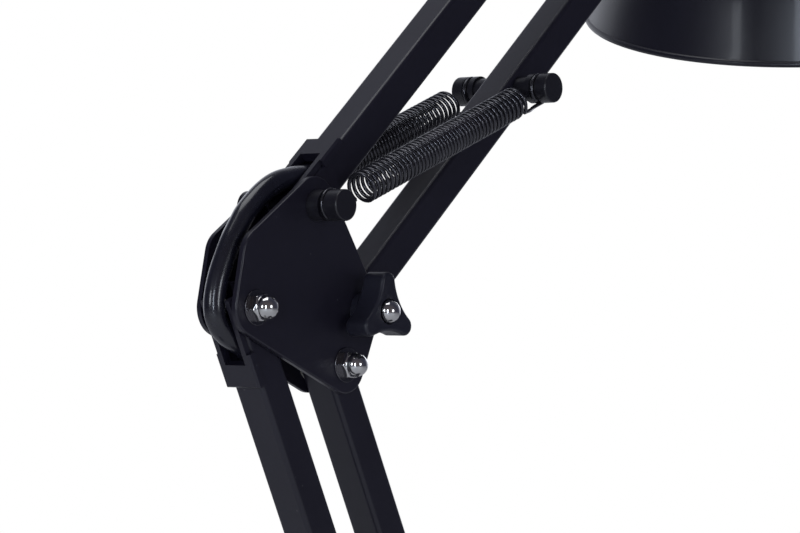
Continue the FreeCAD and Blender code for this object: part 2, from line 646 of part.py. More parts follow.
def handKnob(label, pivot, seat, turn):
    """A three-lobed hand knob. The seat is how far in front of the middle its boss rests."""
    rim = cylinder("knobDia / 2", "knobHigh")
    scoops = []
    for turnBy in (30, 150, 270):
        spot = along(turnBy, size("knobScoop") + size("knobWaist"))
        scoops.append(cylinder("knobScoop", "knobHigh + 2", (spot.x, spot.z, -1)))
    lobed = cut(rim, fuse(*scoops))
    doc.recompute()
    soft = doc.addObject("Part::Fillet", "Softened")
    soft.Base = lobed
    lobe = size("knobLobeRound")
    soft.Edges = [(i, lobe, lobe) for i, e in enumerate(lobed.Shape.Edges, start=1)
                  if abs(e.tangentAt(e.FirstParameter).z) > 0.9 and e.Length > 1]
    doc.recompute()
    softer = doc.addObject("Part::Fillet", "SoftTop")
    softer.Base = soft
    softer.Edges = [(i, size("knobRound"), size("knobRound")) for i, e in enumerate(soft.Shape.Edges, start=1)
                    if all(abs(v.Point.z - size("knobHigh")) < 1e-6 for v in e.Vertexes)]
    boss = cylinder("knobBossDia / 2", "knobBossHigh", (0, 0, -size("knobBossHigh")))
    bore = cylinder(boltHole, "knobBossHigh + knobHigh + 1", (0, 0, -size("knobBossHigh") - 0.5))
    pocket = cylinder("domeRadius + runFit * 2", "knobHigh",
                      (0, 0, size("knobHigh") - size("knobDomeDeep") - 0.1))
    knob = cut(fuse(softer, boss), fuse(bore, pocket))
    start = pivot + turn.multVec(Vector(0, -seat - size("knobBossHigh"), 0))
    node(place(knob, start, turn * towardFront), label)


def makeUpperArm():
    upperTurn, span = lean(size("upperAngle")), size("upperLength")
    place(squareTube("upper_left_bar", "upperLength", [(0, pinHole), (span, boltHole)],
                     [0, span]), elbowPin, upperTurn)
    place(squareTube("upper_right_bar", "upperLength",
                     [(0, boltHole), (span, boltHole),
                      (size("crossDistance"), "crossSleeveDia / 2 + runFit")], []), elbowKnob, upperTurn)
    crossPin("upper_spring_bar", crossUpper)
    turned = upperTurn * Rotation(Vector(0, 0, 1), 180)
    node(group(leadGuide(elbowPin, upperTurn, "elbowRim"), leadGuide(headLeft, turned, "headRim")),
         "upper_lead_guides")
    lead = cylinder("leadDia / 2", "upperLength - leadInside * 2")
    node(place(lead, elbowPin + along(size("upperAngle"), size("leadInside")),
               upperTurn * Rotation(Vector(0, 1, 0), 90)), "lead_in_upper_bar")


def makeSprings():
    """Closed-wound springs hooked over the pins, as plain sleeves with an eye at each end."""
    radius, wire, reach = size("springDia") / 2, size("springWire"), size("hookReach")
    for arm, pin, cross in (("lower", footLeft, crossLower), ("upper", elbowPin, crossUpper)):
        pair = []
        for y in (-size("springOut"), size("springOut")):
            start, finish = pin + Vector(0, y, 0), cross + Vector(0, y, 0)
            way = (finish - start).normalize()
            coilLow, coilHigh = start + way * reach, finish - way * reach
            sleeve = Part.makeCylinder(radius, (coilHigh - coilLow).Length, coilLow, way)
            sleeve = sleeve.cut(Part.makeCylinder(radius - wire, (coilHigh - coilLow).Length, coilLow, way))
            pieces = [sleeve]
            eye = size("slotDia") / 2 + wire / 2 + size("eyeSlack")
            for centre, inward, coil in ((start, way, coilLow), (finish, way * -1, coilHigh)):
                pieces.append(Part.makeTorus(eye, wire / 2, centre, Vector(0, 1, 0)))
                hook = centre + inward * eye
                pieces.append(Part.makeCylinder(wire / 2, (coil - hook).Length + wire / 2, hook, inward))
                pieces.append(Part.makeCylinder(radius - wire / 2, wire, coil, inward))
            pair.append(pieces[0].fuse(pieces[1:]))
        thing = doc.addObject("Part::Feature", "Springs")
        thing.Shape = Part.makeCompound([solid for spring in pair for solid in spring.Solids])
        node(thing, f"{arm}_springs")


# ---- lead ----

# Routes of the lead that shows, each as x and z in the arm's plane, measured from the pivot
# that it passes. They are chosen by hand.
elbowRouteUpper = [(18.1, 15.8), (10.0, 9.8), (-0.6, 9.3), (-12.0, 6.8), (-23.0, -1.5), (-27.0, -7.0)]
elbowRouteLower = [(-27.0, -7.0), (-31.0, -12.5), (-36.5, -24.0), (-37.9, -33.5), (-33.2, -40.2),
                   (-22.2, -44.7), (-17.2, -53.4)]
footRoute = [(-10.3, 21.7), (-6.7, 12.3), (-9.9, 0.8), (-16.2, -10.5), (-20.2, -22.5), (-19.2, -31.0),
             (-14.7, -37.1), (-7.2, -37.1)]
headRoute = [(-18.1, -15.8), (-11.1, -8.6), (-8.9, 4.2), (-4.5, 16.0), (5.0, 22.5), (14.0, 21.7),
             (24.0, 21.7)]
# The mains lead, as x, y and z: from the strain relief to the coil, and from the coil to the plug.
mainsRoute = [(-134, 0, 15.2), (-150, 0.5, 14.4), (-168, 3, 9.0), (-186, 1.0, 4.0), (-206, -7, 3.5),
              (-228, -3, 3.6), (-247, 9.5, 4.2)]
plugRoute = [(-240, 115.0, 10.5), (-216, 118.5, 6.4), (-192, 112, 3.6), (-170, 104, 3.7), (-152, 103, 6.2),
             (-140, 103, 7.2)]


def routeAt(points, pivot):
    return [(pivot.x + x, 0, pivot.z + z) for x, z in points]


def makeLeads():
    diameter = size("leadDia")
    for label, route, pivot in (("lead_elbow_upper", elbowRouteUpper, elbowPin),
                                ("lead_elbow_lower", elbowRouteLower, elbowPin),
                                ("lead_foot_loop", footRoute, footLeft),
                                ("lead_head_loop", headRoute, headLeft)):
        points = routeAt(route, pivot)
        tube(label, points, easyRadii(points), diameter)
    hidden = size("hiddenBend")
    rear = -size("footBlockLong") / 2
    handOver = (0, 0, spindleNutLow + size("hiddenBend"))
    intoFoot = [(rear, 0, blockMiddle), (0, 0, blockMiddle), handOver]
    tube("lead_in_foot", intoFoot, [size("footBlockHigh") / 2], diameter)
    tip = -size("baseDia") / 2 - size("reliefLong")
    tube("lead_in_base", [handOver, (0, 0, size("leadHigh")), (tip, 0, size("leadHigh"))], [hidden], diameter)
    tube("mains_lead", mainsRoute, easyRadii(mainsRoute), diameter)
    tube("plug_lead", plugRoute, easyRadii(plugRoute), diameter)


def makeMainsEnd():
    turnedBody("strain_relief", [
        ("leadDia / 2 + runFit", "0 - reliefNeck"), ("reliefTip / 2", "0 - reliefNeck"),
        ("reliefTip / 2", "0"), ("reliefDia / 2", "0"), ("reliefDia / 2", "reliefFlangeHigh"),
        ("reliefDia / 2 - reliefTaper", "reliefFlangeHigh"),
        ("reliefTip / 2", "reliefLong"), ("leadDia / 2 + runFit", "reliefLong")],
        (-size("baseDia") / 2, 0, size("leadHigh")), Rotation(Vector(0, 1, 0), -90))
    centre = (size("coilX"), size("coilY"), size("coilLift"))
    coil = cylinder("coilOuter", "coilHigh", centre)
    node(cut(coil, cylinder("coilInner", "coilHigh + 2", (centre[0], centre[1], centre[2] - 1))), "lead_coil")
    end = Vector(*plugRoute[-1])
    neck = doc.addObject("Part::Cone", "Neck")
    bind(neck, Radius1="leadDia / 2 + 0.8", Radius2="plugHigh / 2 - 0.5", Height="plugNeck")
    place(neck, end, Rotation(Vector(0, 1, 0), 90))
    body = box("plugLong", "plugWide", "plugHigh")
    doc.recompute()
    soft = doc.addObject("Part::Fillet", "Softened")
    soft.Base = body
    soft.Edges = [(i, size("plugRound"), size("plugRound")) for i, e in enumerate(body.Shape.Edges, start=1)
                  if abs(e.tangentAt(e.FirstParameter).x) > 0.9 or e.BoundBox.XMax < 1e-6]
    place(soft, (end.x + size("plugNeck") - 1, end.y - size("plugWide") / 2, end.z - size("plugHigh") / 2))
    face = end.x + size("plugNeck") - 1 + size("plugLong")
    pins = []
    for side in (-1, 1):
        at = (face - 0.5, end.y + side * size("plugPinApart") / 2, end.z)
        pins.append(cylinder("plugPin / 2", "plugPinLong", at, Rotation(Vector(0, 1, 0), 90)))
    node(fuse(neck, soft, *pins), "mains_plug")


# ---- head ----

def inHead(x, y, far):
    """A point of the head: far is the distance from the tilt pivot towards the shade's mouth."""
    return headPivot + headTurn.multVec(Vector(x, y, -far))


headDown = headTurn * Rotation(Vector(1, 0, 0), 180)     # a piece's +Z points out of the shade's mouth


def makeHeadBracket():
    leftX, leftZ = headLeft.x - elbowPin.x, headLeft.z - elbowPin.z
    rightX, rightZ = headRight.x - elbowPin.x, headRight.z - elbowPin.z
    blockX = "headX - headBlockBack"
    rims = [(f"{rightX}", f"{rightZ}", "headRim"), (blockX, "headZ", "headBlockRim"),
            (f"{leftX}", f"{leftZ}", "headRim")]
    holes = [(f"{rightX}", f"{rightZ}", boltHole), (f"{leftX}", f"{leftZ}", boltHole),
             (blockX, "headZ + headScrewOut", "headScrewDia / 2 + runFit"),
             (blockX, "headZ - headScrewOut", "headScrewDia / 2 + runFit")]
    plateBody("head_plate_front", rims, holes, elbowPin, -1)
    plateBody("head_plate_rear", rims, holes, elbowPin, 1)
    half = size("headBlockLong") / 2
    middle = headPivot - Vector(size("headBlockBack"), 0, 0)
    block = box("headBlockLong", "barWide + plateGap * 2", "headBlockHigh",
                (middle.x - half, -plateInner, middle.z - size("headBlockHigh") / 2))
    lengthwise = Rotation(Vector(0, 1, 0), 90)
    bores = [cylinder("studDia / 2 + runFit", "headBlockLong - sheathDepth + 1",
                      (middle.x - half + size("sheathDepth"), 0, middle.z), lengthwise),
             cylinder("leadDia / 2 + runFit", "sheathDepth + 1",
                      (middle.x - half - 1, 0, middle.z), lengthwise)]
    screws = []
    for side in (-1, 1):
        z = middle.z + side * size("headScrewOut")
        bores.append(across("headScrewDia / 2 + runFit", "barWide + plateGap * 2 + 2", middle.x, z,
                            -plateInner - 1))
        shank = across("headScrewDia / 2", f"{2 * plateOuter}", middle.x, z, -plateOuter)
        heads = [cylinder("headScrewDia / 2 + headScrewProud", "headScrewHigh", (middle.x, y, z), turn)
                 for y, turn in ((-plateOuter, towardFront), (plateOuter, towardRear))]
        screws.append(fuse(shank, *heads))
    node(cut(block, fuse(*bores)), "head_block")
    pivots = [headLeft, headRight]
    node(group(*screws, *[throughBolt(p.x, p.z, washerOuter) for p in pivots]), "head_bolts")
    node(group(*[acorn(p.x, p.z, -washerOuter, -1) for p in pivots]), "head_nuts")
    node(group(*washers(pivots, (-1, 1)), *discs(pivots)), "head_washers")


def makeKnuckle():
    cheekIn = size("tongueThick") / 2 + size("cheekGap")
    cheekOut = cheekIn + size("cheekThick")
    half, back = size("tongueWide") / 2, size("knuckleBack")
    stud = cylinder("studDia / 2", "headBlockBack + headBlockLong / 2 - sheathDepth - knuckleBack - 0.5",
                    (-back, 0, 0), Rotation(Vector(0, 1, 0), -90))
    web = box("cheekThick", f"{2 * cheekOut}", "tongueWide", (-back - size("cheekThick"), -cheekOut, -half))
    pieces = [stud, web]
    for y in (-cheekOut, cheekIn):
        pieces.append(box("knuckleBack", "cheekThick", "tongueWide", (-back, y, -half)))
        pieces.append(across("tongueWide / 2", "cheekThick", 0, 0, y))
    holes = [across(boltHole, f"{2 * cheekOut + 2}", 0, 0, -cheekOut - 1),
             cylinder("studDia / 2 - 1.5", "40", (-back + 1, 0, 0), Rotation(Vector(0, 1, 0), -90))]
    knuckle = cut(fuse(*pieces), fuse(*holes))
    place(knuckle, headPivot, rollTurn)
    node(knuckle, "head_knuckle")
    node(knobBolt(headPivot, cheekOut, rollTurn), "head_tilt_bolt")
    handKnob("head_knob", headPivot, cheekOut, rollTurn)


def makeHead():
    wide, thick, far = size("tongueWide"), size("tongueThick"), size("capFar")
    lug = box("tongueWide", "tongueThick", "capFar", (-wide / 2, -thick / 2, -far))
    end = across("tongueWide / 2", "tongueThick", 0, 0, -thick / 2)
    hole = across(boltHole, "tongueThick + 2", 0, 0, -thick / 2 - 1)
    bore = cylinder("lugBore / 2", "capFar - tongueWide / 2", (0, 0, -far - 1))
    node(place(cut(fuse(lug, end), fuse(hole, bore)), headPivot, headTurn), "head_lug")
    body = doc.addObject("PartDesign::Body", "Cap")
    outline = polygonSketch(body, "Outline", "XZ_Plane", [
        ("lugBore / 2", "0"), ("capDia / 2", "0"), ("capDia / 2", "shadeTopFar - capFar"),
        ("capDia / 2 - capWall", "shadeTopFar - capFar"), ("capDia / 2 - capWall", "capWall"),
        ("lugBore / 2", "capWall")])
    solid = revolve(body, outline)
    roundOff(body, solid, "capWall * 2.5", atRadius(size("capDia") / 2, 0))
    hole = cylinder("buttonDia / 2 + runFit * 2", "capWall + 2", (size("buttonOut"), 0, -1))
    node(place(cut(body, hole), inHead(0, 0, size("capFar")), headDown), "socket_cap")
    button = cylinder("buttonDia / 2", "buttonHigh + buttonInside",
                      (size("buttonOut"), 0, -size("buttonHigh")))
    doc.recompute()
    soft = doc.addObject("Part::Fillet", "Softened")
    soft.Base = button
    rounding = size("buttonRound")
    soft.Edges = [(i, rounding, rounding) for i, e in enumerate(button.Shape.Edges, start=1)
                  if all(v.Point.z < -size("buttonHigh") + 1e-6 for v in e.Vertexes)]
    node(place(soft, inHead(0, 0, size("capFar")), headDown), "switch_button")
    turnedBody("lamp_holder", [
        ("0", "capWall + ringGap"), ("holderNeck / 2", "capWall + ringGap"),
        ("holderNeck / 2", "holderFar - capFar"), ("holderDia / 2", "holderFar - capFar"),
        ("holderDia / 2", "holderFar + holderLong - capFar"),
        ("bulbCapDia / 2 + 0.6", "holderFar + holderLong - capFar"),
        ("bulbCapDia / 2 + 0.6", "bulbSeat - capFar"), ("0", "bulbSeat - capFar")],
        inHead(0, 0, size("capFar")), headDown)
    ring = cylinder("ringDia / 2", "ringThick")
    opening = cylinder("holderDia / 2 + runFit", "ringThick + 2", (0, 0, -1))
    seat = size("shadeTopFar") + size("shadeWall") + size("ringGap")
    node(place(cut(ring, opening), inHead(0, 0, seat), headDown), "shade_ring")
    cup = cylinder("bulbCapDia / 2", "bulbNeckFar - bulbSeat - 0.5")
    hollow = cylinder("bulbCapDia / 2 - bulbWall", "bulbNeckFar - bulbSeat", (0, 0, 3))
    node(place(cut(cup, hollow), inHead(0, 0, size("bulbSeat") + 0.3), headDown), "bulb_cap")
    glass = cut(bulbShape("0"), bulbShape("bulbWall"))
    node(place(glass, inHead(0, 0, size("bulbNeckFar")), headDown), "bulb_glass")
    makeShade()


def bulbShape(less):
    """A globe on a short neck, smaller all round by this much. The smaller one runs out of the neck."""
    globe = doc.addObject("Part::Sphere", "Globe")
    bind(globe, Radius=f"bulbDia / 2 - {less}")
    place(globe, (0, 0, size("bulbFar") - size("bulbNeckFar")))
    neck = doc.addObject("Part::Cone", "Neck")
    bind(neck, Radius1=f"bulbCapDia / 2 - {less}", Radius2=f"bulbDia / 2 * 0.87 - {less}",
         Height="bulbFar - bulbNeckFar - bulbDia / 4")
    stem = cylinder(f"bulbCapDia / 2 - {less}", f"1 + {less}", (0, 0, 0 if less == "0" else -size(less)))
    return fuse(globe, neck, stem)


def makeShade():
    """A spun shade: a flat seat, a rounded shoulder and a flared skirt, turned from one profile."""
    wall, mouth = size("shadeWall"), size("shadeFar")
    hole, seat = size("shadeHole") / 2, size("shadeTopDia") / 2
    kneeR, kneeFar = size("shadeKneeRadius"), size("shadeKneeFar")
    rim, top = size("shadeRim"), size("shadeTopFar")

    def side(offset):
        a = Vector(seat - offset * 0.3, 0, top + offset)
        b = Vector(kneeR - offset * 0.87, 0, kneeFar + offset * 0.5)
        c = Vector(rim - offset, 0, mouth)
        shoulder = (a + b) / 2 + Vector(0.55, 0, -0.8).normalize() * (b - a).Length * 0.17
        skirt = (b + c) / 2 + Vector(0.9, 0, -0.43).normalize() * (c - b).Length * 0.045
        return a, shoulder, b, skirt, c
    a, shoulder, b, skirt, c = side(0)
    a2, shoulder2, b2, skirt2, c2 = side(wall)
    inner, outer = Vector(hole, 0, top + wall), Vector(hole, 0, top)
    edges = [Part.LineSegment(outer, a), Part.Arc(a, shoulder, b), Part.Arc(b, skirt, c),
             Part.LineSegment(c, c2), Part.Arc(c2, skirt2, b2), Part.Arc(b2, shoulder2, a2),
             Part.LineSegment(a2, inner), Part.LineSegment(inner, outer)]
    profile = Part.Face(Part.Wire([e.toShape() for e in edges]))
    thing = doc.addObject("Part::Feature", "Shade")
    thing.Shape = profile.revolve(Vector(0, 0, 0), Vector(0, 0, 1), 360)
    node(place(thing, headPivot, headDown), "shade")


# ---- build, check and write ----

for make in (makeBase, makeFoot, makeLowerArm, makeElbow, makeUpperArm, makeSprings, makeHeadBracket,
             makeKnuckle, makeHead, makeLeads, makeMainsEnd):
    make()
    doc.recompute()

broken = [f"{o.Label}: {', '.join(o.State)}" for o in doc.Objects
          if "Invalid" in o.State or "Error" in o.State]
for thing in nodes:
    if thing.Shape.isNull() or not thing.Shape.isValid() or not thing.Shape.Solids:
        broken.append(f"{thing.Label}: no valid solid")
if broken:
    raise RuntimeError("; ".join(broken))

os.makedirs("parts", exist_ok=True)
for thing in nodes:
    thing.Shape.exportStep(f"parts/{thing.Label}.step")
    print(f"{thing.Label}: {len(thing.Shape.Solids)} solid, {thing.Shape.Volume / 1000:.2f} cm3")
print(len(nodes), "nodes")
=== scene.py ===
import json
import math
import bpy
import bmesh
from mathutils import Matrix, Vector

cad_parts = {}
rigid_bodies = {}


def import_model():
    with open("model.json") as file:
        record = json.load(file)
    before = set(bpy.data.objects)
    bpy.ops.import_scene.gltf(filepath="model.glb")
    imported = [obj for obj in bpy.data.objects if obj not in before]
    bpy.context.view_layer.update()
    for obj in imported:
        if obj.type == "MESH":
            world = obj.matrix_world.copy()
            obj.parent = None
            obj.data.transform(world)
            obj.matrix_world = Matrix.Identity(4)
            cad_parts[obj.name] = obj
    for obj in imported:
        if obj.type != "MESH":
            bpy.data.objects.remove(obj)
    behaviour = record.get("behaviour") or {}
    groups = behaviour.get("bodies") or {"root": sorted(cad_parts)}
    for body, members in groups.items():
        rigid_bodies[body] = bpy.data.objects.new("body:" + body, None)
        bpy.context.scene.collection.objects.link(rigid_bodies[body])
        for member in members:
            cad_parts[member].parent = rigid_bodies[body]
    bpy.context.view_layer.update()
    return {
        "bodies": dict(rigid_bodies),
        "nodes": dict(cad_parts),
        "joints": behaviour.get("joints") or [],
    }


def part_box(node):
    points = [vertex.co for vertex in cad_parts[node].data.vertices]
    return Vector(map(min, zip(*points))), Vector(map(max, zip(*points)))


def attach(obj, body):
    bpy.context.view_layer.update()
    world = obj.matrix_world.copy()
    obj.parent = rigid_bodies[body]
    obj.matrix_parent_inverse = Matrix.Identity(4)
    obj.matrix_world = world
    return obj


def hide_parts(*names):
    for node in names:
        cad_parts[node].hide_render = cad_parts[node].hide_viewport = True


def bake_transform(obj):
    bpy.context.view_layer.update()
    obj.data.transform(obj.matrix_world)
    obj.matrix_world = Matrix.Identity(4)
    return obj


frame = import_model()

# places that the frame gives

pivot = {j["name"]: Vector(j["pos_m"]) for j in frame["joints"] if "pos_m" in j}
axisOf = {j["name"]: Vector(j["axis"]).normalized() for j in frame["joints"]}
footLeft, footRight = pivot["lower_arm"], pivot["lower_arm_right"]
elbowLeft = pivot["elbow_parallel"]
elbowPin, elbowKnob = pivot["upper_arm"], pivot["upper_arm_right"] * 1
elbowKnob.y = 0
headLeft, headPivot = pivot["head_parallel"], pivot["head_tilt"]
elbowLow = footRight + elbowLeft - footLeft
headRight = elbowKnob + headLeft - elbowPin
mouthWay = axisOf["switch_press"]     # out of the shade's mouth
tiltAxis = axisOf["head_tilt"]
front, rear = Vector((0, -1, 0)), Vector((0, 1, 0))


# camera

camera = {"azimuth": -49.72, "elevation": -0.1, "distance": 1.0544, "right": 0.0327, "down": 0.0191,
          "lens": 150.66}


def makeCamera():
    a, e = math.radians(camera["azimuth"]), math.radians(camera["elevation"])
    back = Vector((math.sin(a) * math.cos(e), -math.cos(a) * math.cos(e), math.sin(e)))
    right = Vector((math.cos(a), math.sin(a), 0))
    up = back.cross(right)
    data = bpy.data.cameras.new("camera")
    data.lens = camera["lens"]
    data.clip_end = 60
    view = bpy.data.objects.new("camera", data)
    turn = Matrix((right, up, back)).transposed().to_4x4()
    place = elbowPin + right * camera["right"] - up * camera["down"] + back * camera["distance"]
    view.matrix_world = Matrix.Translation(place) @ turn
    bpy.context.scene.collection.objects.link(view)
    bpy.context.scene.camera = view
    return back, right, up


backWay, rightWay, upWay = makeCamera()
print("camera placed")


# materials

class Socket:
    # one output socket, so that maths on it reads as an expression
    def __init__(self, finish, output):
        self.finish = finish
        self.output = output

    def maths(self, operation, *values):
        return self.finish.node("ShaderNodeMath", {"operation": operation}, values)

    def __add__(self, other):
        return self.maths("ADD", self, other)

    __radd__ = __add__

    def __sub__(self, other):
        return self.maths("SUBTRACT", self, other)

    def __rsub__(self, other):
        return self.maths("SUBTRACT", other, self)

    def __mul__(self, other):
        return self.maths("MULTIPLY", self, other)

    __rmul__ = __mul__

    def above(self, low, high):
        # 0 below low, 1 above high
        span = {"Value": self, "From Min": low, "From Max": high}
        return self.finish.node("ShaderNodeMapRange", {"clamp": True}, span)


class Finish:
    # one node material: its tree, its shader and the nodes that feed it
    def __init__(self, name, **plain):
        self.material = bpy.data.materials.new(name)
        self.material.use_nodes = True
        self.tree = self.material.node_tree
        self.shader = self.tree.nodes["Principled BSDF"]
        self.place = self.node("ShaderNodeTexCoord", {}, {}, "Object")
        for word, value in plain.items():
            self.shader.inputs[word.replace("_", " ")].default_value = value

    def node(self, kind, settings, values, output=0):
        made = self.tree.nodes.new(kind)
        for word, value in settings.items():
            if word == "stops":
                ramp = made.color_ramp
                for i, (where, colour) in enumerate(value):
                    stop = ramp.elements[i] if i < 2 else ramp.elements.new(where)
                    stop.position, stop.color = where, (*colour, 1)
            else:
                setattr(made, word, value)
        pairs = values.items() if isinstance(values, dict) else enumerate(values)
        for key, value in pairs:
            self.feed(made.inputs[key], value)
        return Socket(self, made.outputs[output])

    def feed(self, socket, value):
        if isinstance(value, Socket):
            self.tree.links.new(value.output, socket)
        elif socket.type == "RGBA" and len(value) == 3:
            socket.default_value = (*value, 1)
        else:
            socket.default_value = value

    def noise(self, scale, detail=2.0, rough=0.5, warp=0.0, at=None):
        values = {"Vector": at or self.place, "Scale": scale, "Detail": detail, "Roughness": rough,
                  "Distortion": warp}
        return self.node("ShaderNodeTexNoise", {}, values)

    def cells(self, scale, output="Distance", at=None):
        return self.node("ShaderNodeTexVoronoi", {}, {"Vector": at or self.place, "Scale": scale}, output)

    def blend(self, share, one, other):
        return self.node("ShaderNodeMix", {"data_type": "RGBA"}, {0: share, 6: one, 7: other}, 2)

    def attribute(self, word):
        return self.node("ShaderNodeAttribute", {"attribute_name": word}, {}, "Fac")

    def bump(self, height, depth, strength=1.0):
        values = {"Height": height, "Distance": depth, "Strength": strength}
        self.feed(self.shader.inputs["Normal"], self.node("ShaderNodeBump", {}, values, "Normal"))

    def set(self, **values):
        for word, value in values.items():
            self.feed(self.shader.inputs[word.replace("_", " ")], value)


paintLook = {"colour": (0.0112, 0.0098, 0.0190), "worn": (0.0195, 0.0180, 0.0310), "roughness": 0.29,
             "grain": 2600, "specks": 260, "dust": (0.12, 0.12, 0.13)}
steelLook = {"colour": (0.0095, 0.0088, 0.0135), "worn": (0.024, 0.023, 0.030), "roughness": 0.27,
             "grain": 1900, "specks": 420, "dust": (0.12, 0.12, 0.13)}


def paint(name, colour, worn, roughness, grain, specks, dust):
    # baked enamel: a very fine orange peel, cloudy gloss and a few specks of dust
    look = Finish(name, IOR=1.5, Coat_Roughness=0.12)
    cloud = look.noise(28, 3, 0.55)
    fine = look.noise(grain, 2, 0.6)
    cell = look.cells(specks)
    chosen = look.noise(specks * 0.37, 0).above(0.66, 0.68)
    speck = (1 - cell.above(0.05, 0.085)) * chosen
    body = look.blend(cloud.above(0.3, 0.75) * 0.5 + fine * 0.25, colour, worn)
    look.set(Base_Color=look.blend(speck * 0.6, body, dust), Coat_Weight=0.12)
    look.set(Roughness=roughness + cloud * 0.07 + fine * 0.05 + speck * 0.2)
    look.bump(fine * 0.5 + look.noise(620, 1) * 0.5 + speck * 0.6, 0.00004, 0.35)
    return look.material


def plasticLook(name, colour, roughness, grain, depth):
    # moulded plastic: a spark-eroded grain, and a slight mottle in its gloss
    look = Finish(name, IOR=1.46)
    fine = look.noise(grain, 3, 0.65)
    cloud = look.noise(60, 2)
    lighter = tuple(c * 1.7 + 0.002 for c in colour)
    look.set(Base_Color=look.blend(cloud.above(0.25, 0.8) * 0.6 + fine * 0.3, colour, lighter))
    look.set(Roughness=roughness + fine * 0.12 + cloud * 0.06)
    look.bump(fine, depth, 0.6)
    return look.material


def plated(name, colour, roughness):
    # bright plating: soft polishing marks and a little tarnish in patches
    look = Finish(name, Metallic=1.0)
    cloud = look.noise(240, 3)
    marks = look.noise(1500, 4, 0.7, 0.6)
    tarnish = look.noise(420, 2).above(0.52, 0.8)
    darker = tuple(c * 0.72 for c in colour)
    look.set(Base_Color=look.blend(tarnish * 0.5, colour, darker))
    look.set(Roughness=roughness + cloud * 0.06 + marks * 0.05 + tarnish * 0.08)
    look.bump(marks, 0.00001, 0.3)
    return look.material


def sheathLook(name, colour, roughness):
    # an extruded sheath: gloss with faint waves, finger marks and fine pits
    look = Finish(name, IOR=1.5, Coat_Roughness=0.08)
    waves = look.noise(95, 1)
    smear = look.noise(34, 4, 0.6, 0.8).above(0.45, 0.75)
    pits = look.noise(3000, 2)
    look.set(Base_Color=look.blend(smear * 0.6 + pits * 0.2, colour, tuple(c * 1.8 for c in colour)))
    look.set(Roughness=roughness + smear * 0.08 + pits * 0.04, Coat_Weight=0.6)
    look.bump(waves * 0.8 + pits * 0.1, 0.00016, 0.5)
    return look.material


def wireLook():
    # lacquered spring wire: drawing marks along it, and lighter, more metallic patches that are partly thin
    # lacquer and partly a painted highlight
    look = Finish("springWire", IOR=1.5, Coat_Roughness=0.1)
    marks = look.noise(900, 4, 0.7)
    # noise patches of lighter colour and more metal: partly thin lacquer, partly a painted highlight standing
    # in for the reflections along each turn
    thin = look.noise(380, 2).above(0.5, 0.75)
    look.set(Base_Color=look.blend(thin * 0.5, (0.055, 0.054, 0.064), (0.13, 0.128, 0.14)))
    look.set(Roughness=0.17 + marks * 0.1, Metallic=0.7 + thin * 0.25, Coat_Weight=0.5)
    look.bump(marks, 0.00003, 0.5)
    return look.material


def shadeLook():
    # black outside and white enamel inside; the mesh says which is which
    look = Finish("shadeEnamel", IOR=1.5, Coat_Roughness=0.1)
    inside = look.attribute("inside")
    cloud = look.noise(22, 3)
    peel = look.noise(900, 2)
    black = look.blend(cloud.above(0.3, 0.75), (0.0082, 0.0075, 0.0145), (0.0140, 0.0135, 0.0230))
    white = look.blend(cloud.above(0.35, 0.8), (0.78, 0.775, 0.75), (0.72, 0.71, 0.68))
    look.set(Base_Color=look.blend(inside, black, white))
    look.set(Roughness=0.3 + cloud * 0.06 + peel * 0.04 + inside * 0.08, Coat_Weight=0.15)
    look.bump(peel * 0.6 + look.noise(210, 1) * 0.4, 0.00005, 0.3)
    return look.material


def castLook():
    # rough sand-cast iron, which only shows from below
    look = Finish("castIron")
    lumps = look.noise(160, 5, 0.7)
    sand = look.noise(1400, 3, 0.7)
    look.set(Base_Color=look.blend(lumps, (0.05, 0.048, 0.045), (0.11, 0.1, 0.095)))
    look.set(Roughness=0.75 + sand * 0.15, Metallic=0.3 + lumps * 0.2)
    look.bump(lumps * 0.6 + sand * 0.4, 0.0006, 0.8)
    return look.material


def feltLook():
    # pressed felt with loose fibres
    look = Finish("padFelt")
    fibre = look.noise(1900, 6, 0.75, 1.2)
    patch = look.noise(90, 3)
    look.set(Base_Color=look.blend(fibre * 0.7 + patch * 0.3, (0.008, 0.008, 0.009), (0.04, 0.04, 0.042)))
    look.set(Roughness=0.9 + fibre * 0.08)
    look.bump(fibre, 0.0004, 0.9)
    return look.material


def opalLook():
    # an opal glass globe, with the faintest unevenness in the frosting
    look = Finish("opalGlass", IOR=1.5, Subsurface_Weight=0.25, Subsurface_Scale=0.01)
    frost = look.noise(700, 3)
    cloud = look.noise(40, 2)
    look.set(Base_Color=look.blend(cloud, (0.9, 0.895, 0.87), (0.84, 0.835, 0.82)))
    look.set(Roughness=0.24 + frost * 0.1, Coat_Weight=0.2)
    look.bump(frost, 0.00003, 0.3)
    return look.material


finish = {
    "paint": paint("satinPaint", **paintLook),
    "shade": shadeLook(),
    "steel": paint("blackenedSteel", **steelLook),
    "wire": wireLook(),
    "chrome": plated("brightPlating", (0.74, 0.73, 0.72), 0.05),
    "washer": plated("darkPlating", (0.16, 0.155, 0.17), 0.16),
    "lampCap": plated("thinAluminium", (0.78, 0.78, 0.77), 0.2),
    "brass": plated("nickelledPins", (0.62, 0.58, 0.5), 0.16),
    "knob": plasticLook("mattMoulding", (0.0125, 0.0125, 0.0215), 0.30, 3200, 0.00004),
    "bush": plasticLook("naturalNylon", (0.42, 0.41, 0.37), 0.4, 1500, 0.00006),
    "button": plasticLook("glossMoulding", (0.012, 0.012, 0.013), 0.16, 2400, 0.00002),
    "holder": plasticLook("darkPhenolic", (0.014, 0.012, 0.011), 0.3, 1800, 0.00004),
    "sheath": sheathLook("leadSheath", (0.0088, 0.0088, 0.0155), 0.24),
    "rubber": plasticLook("softRubber", (0.013, 0.013, 0.014), 0.5, 2600, 0.00008),
    "cast": castLook(),
    "felt": feltLook(),
    "opal": opalLook(),
}
print("materials made:", len(finish))


# mesh tools

def link(name, mesh):
    piece = bpy.data.objects.new(name, mesh)
    bpy.context.scene.collection.objects.link(piece)
    return piece


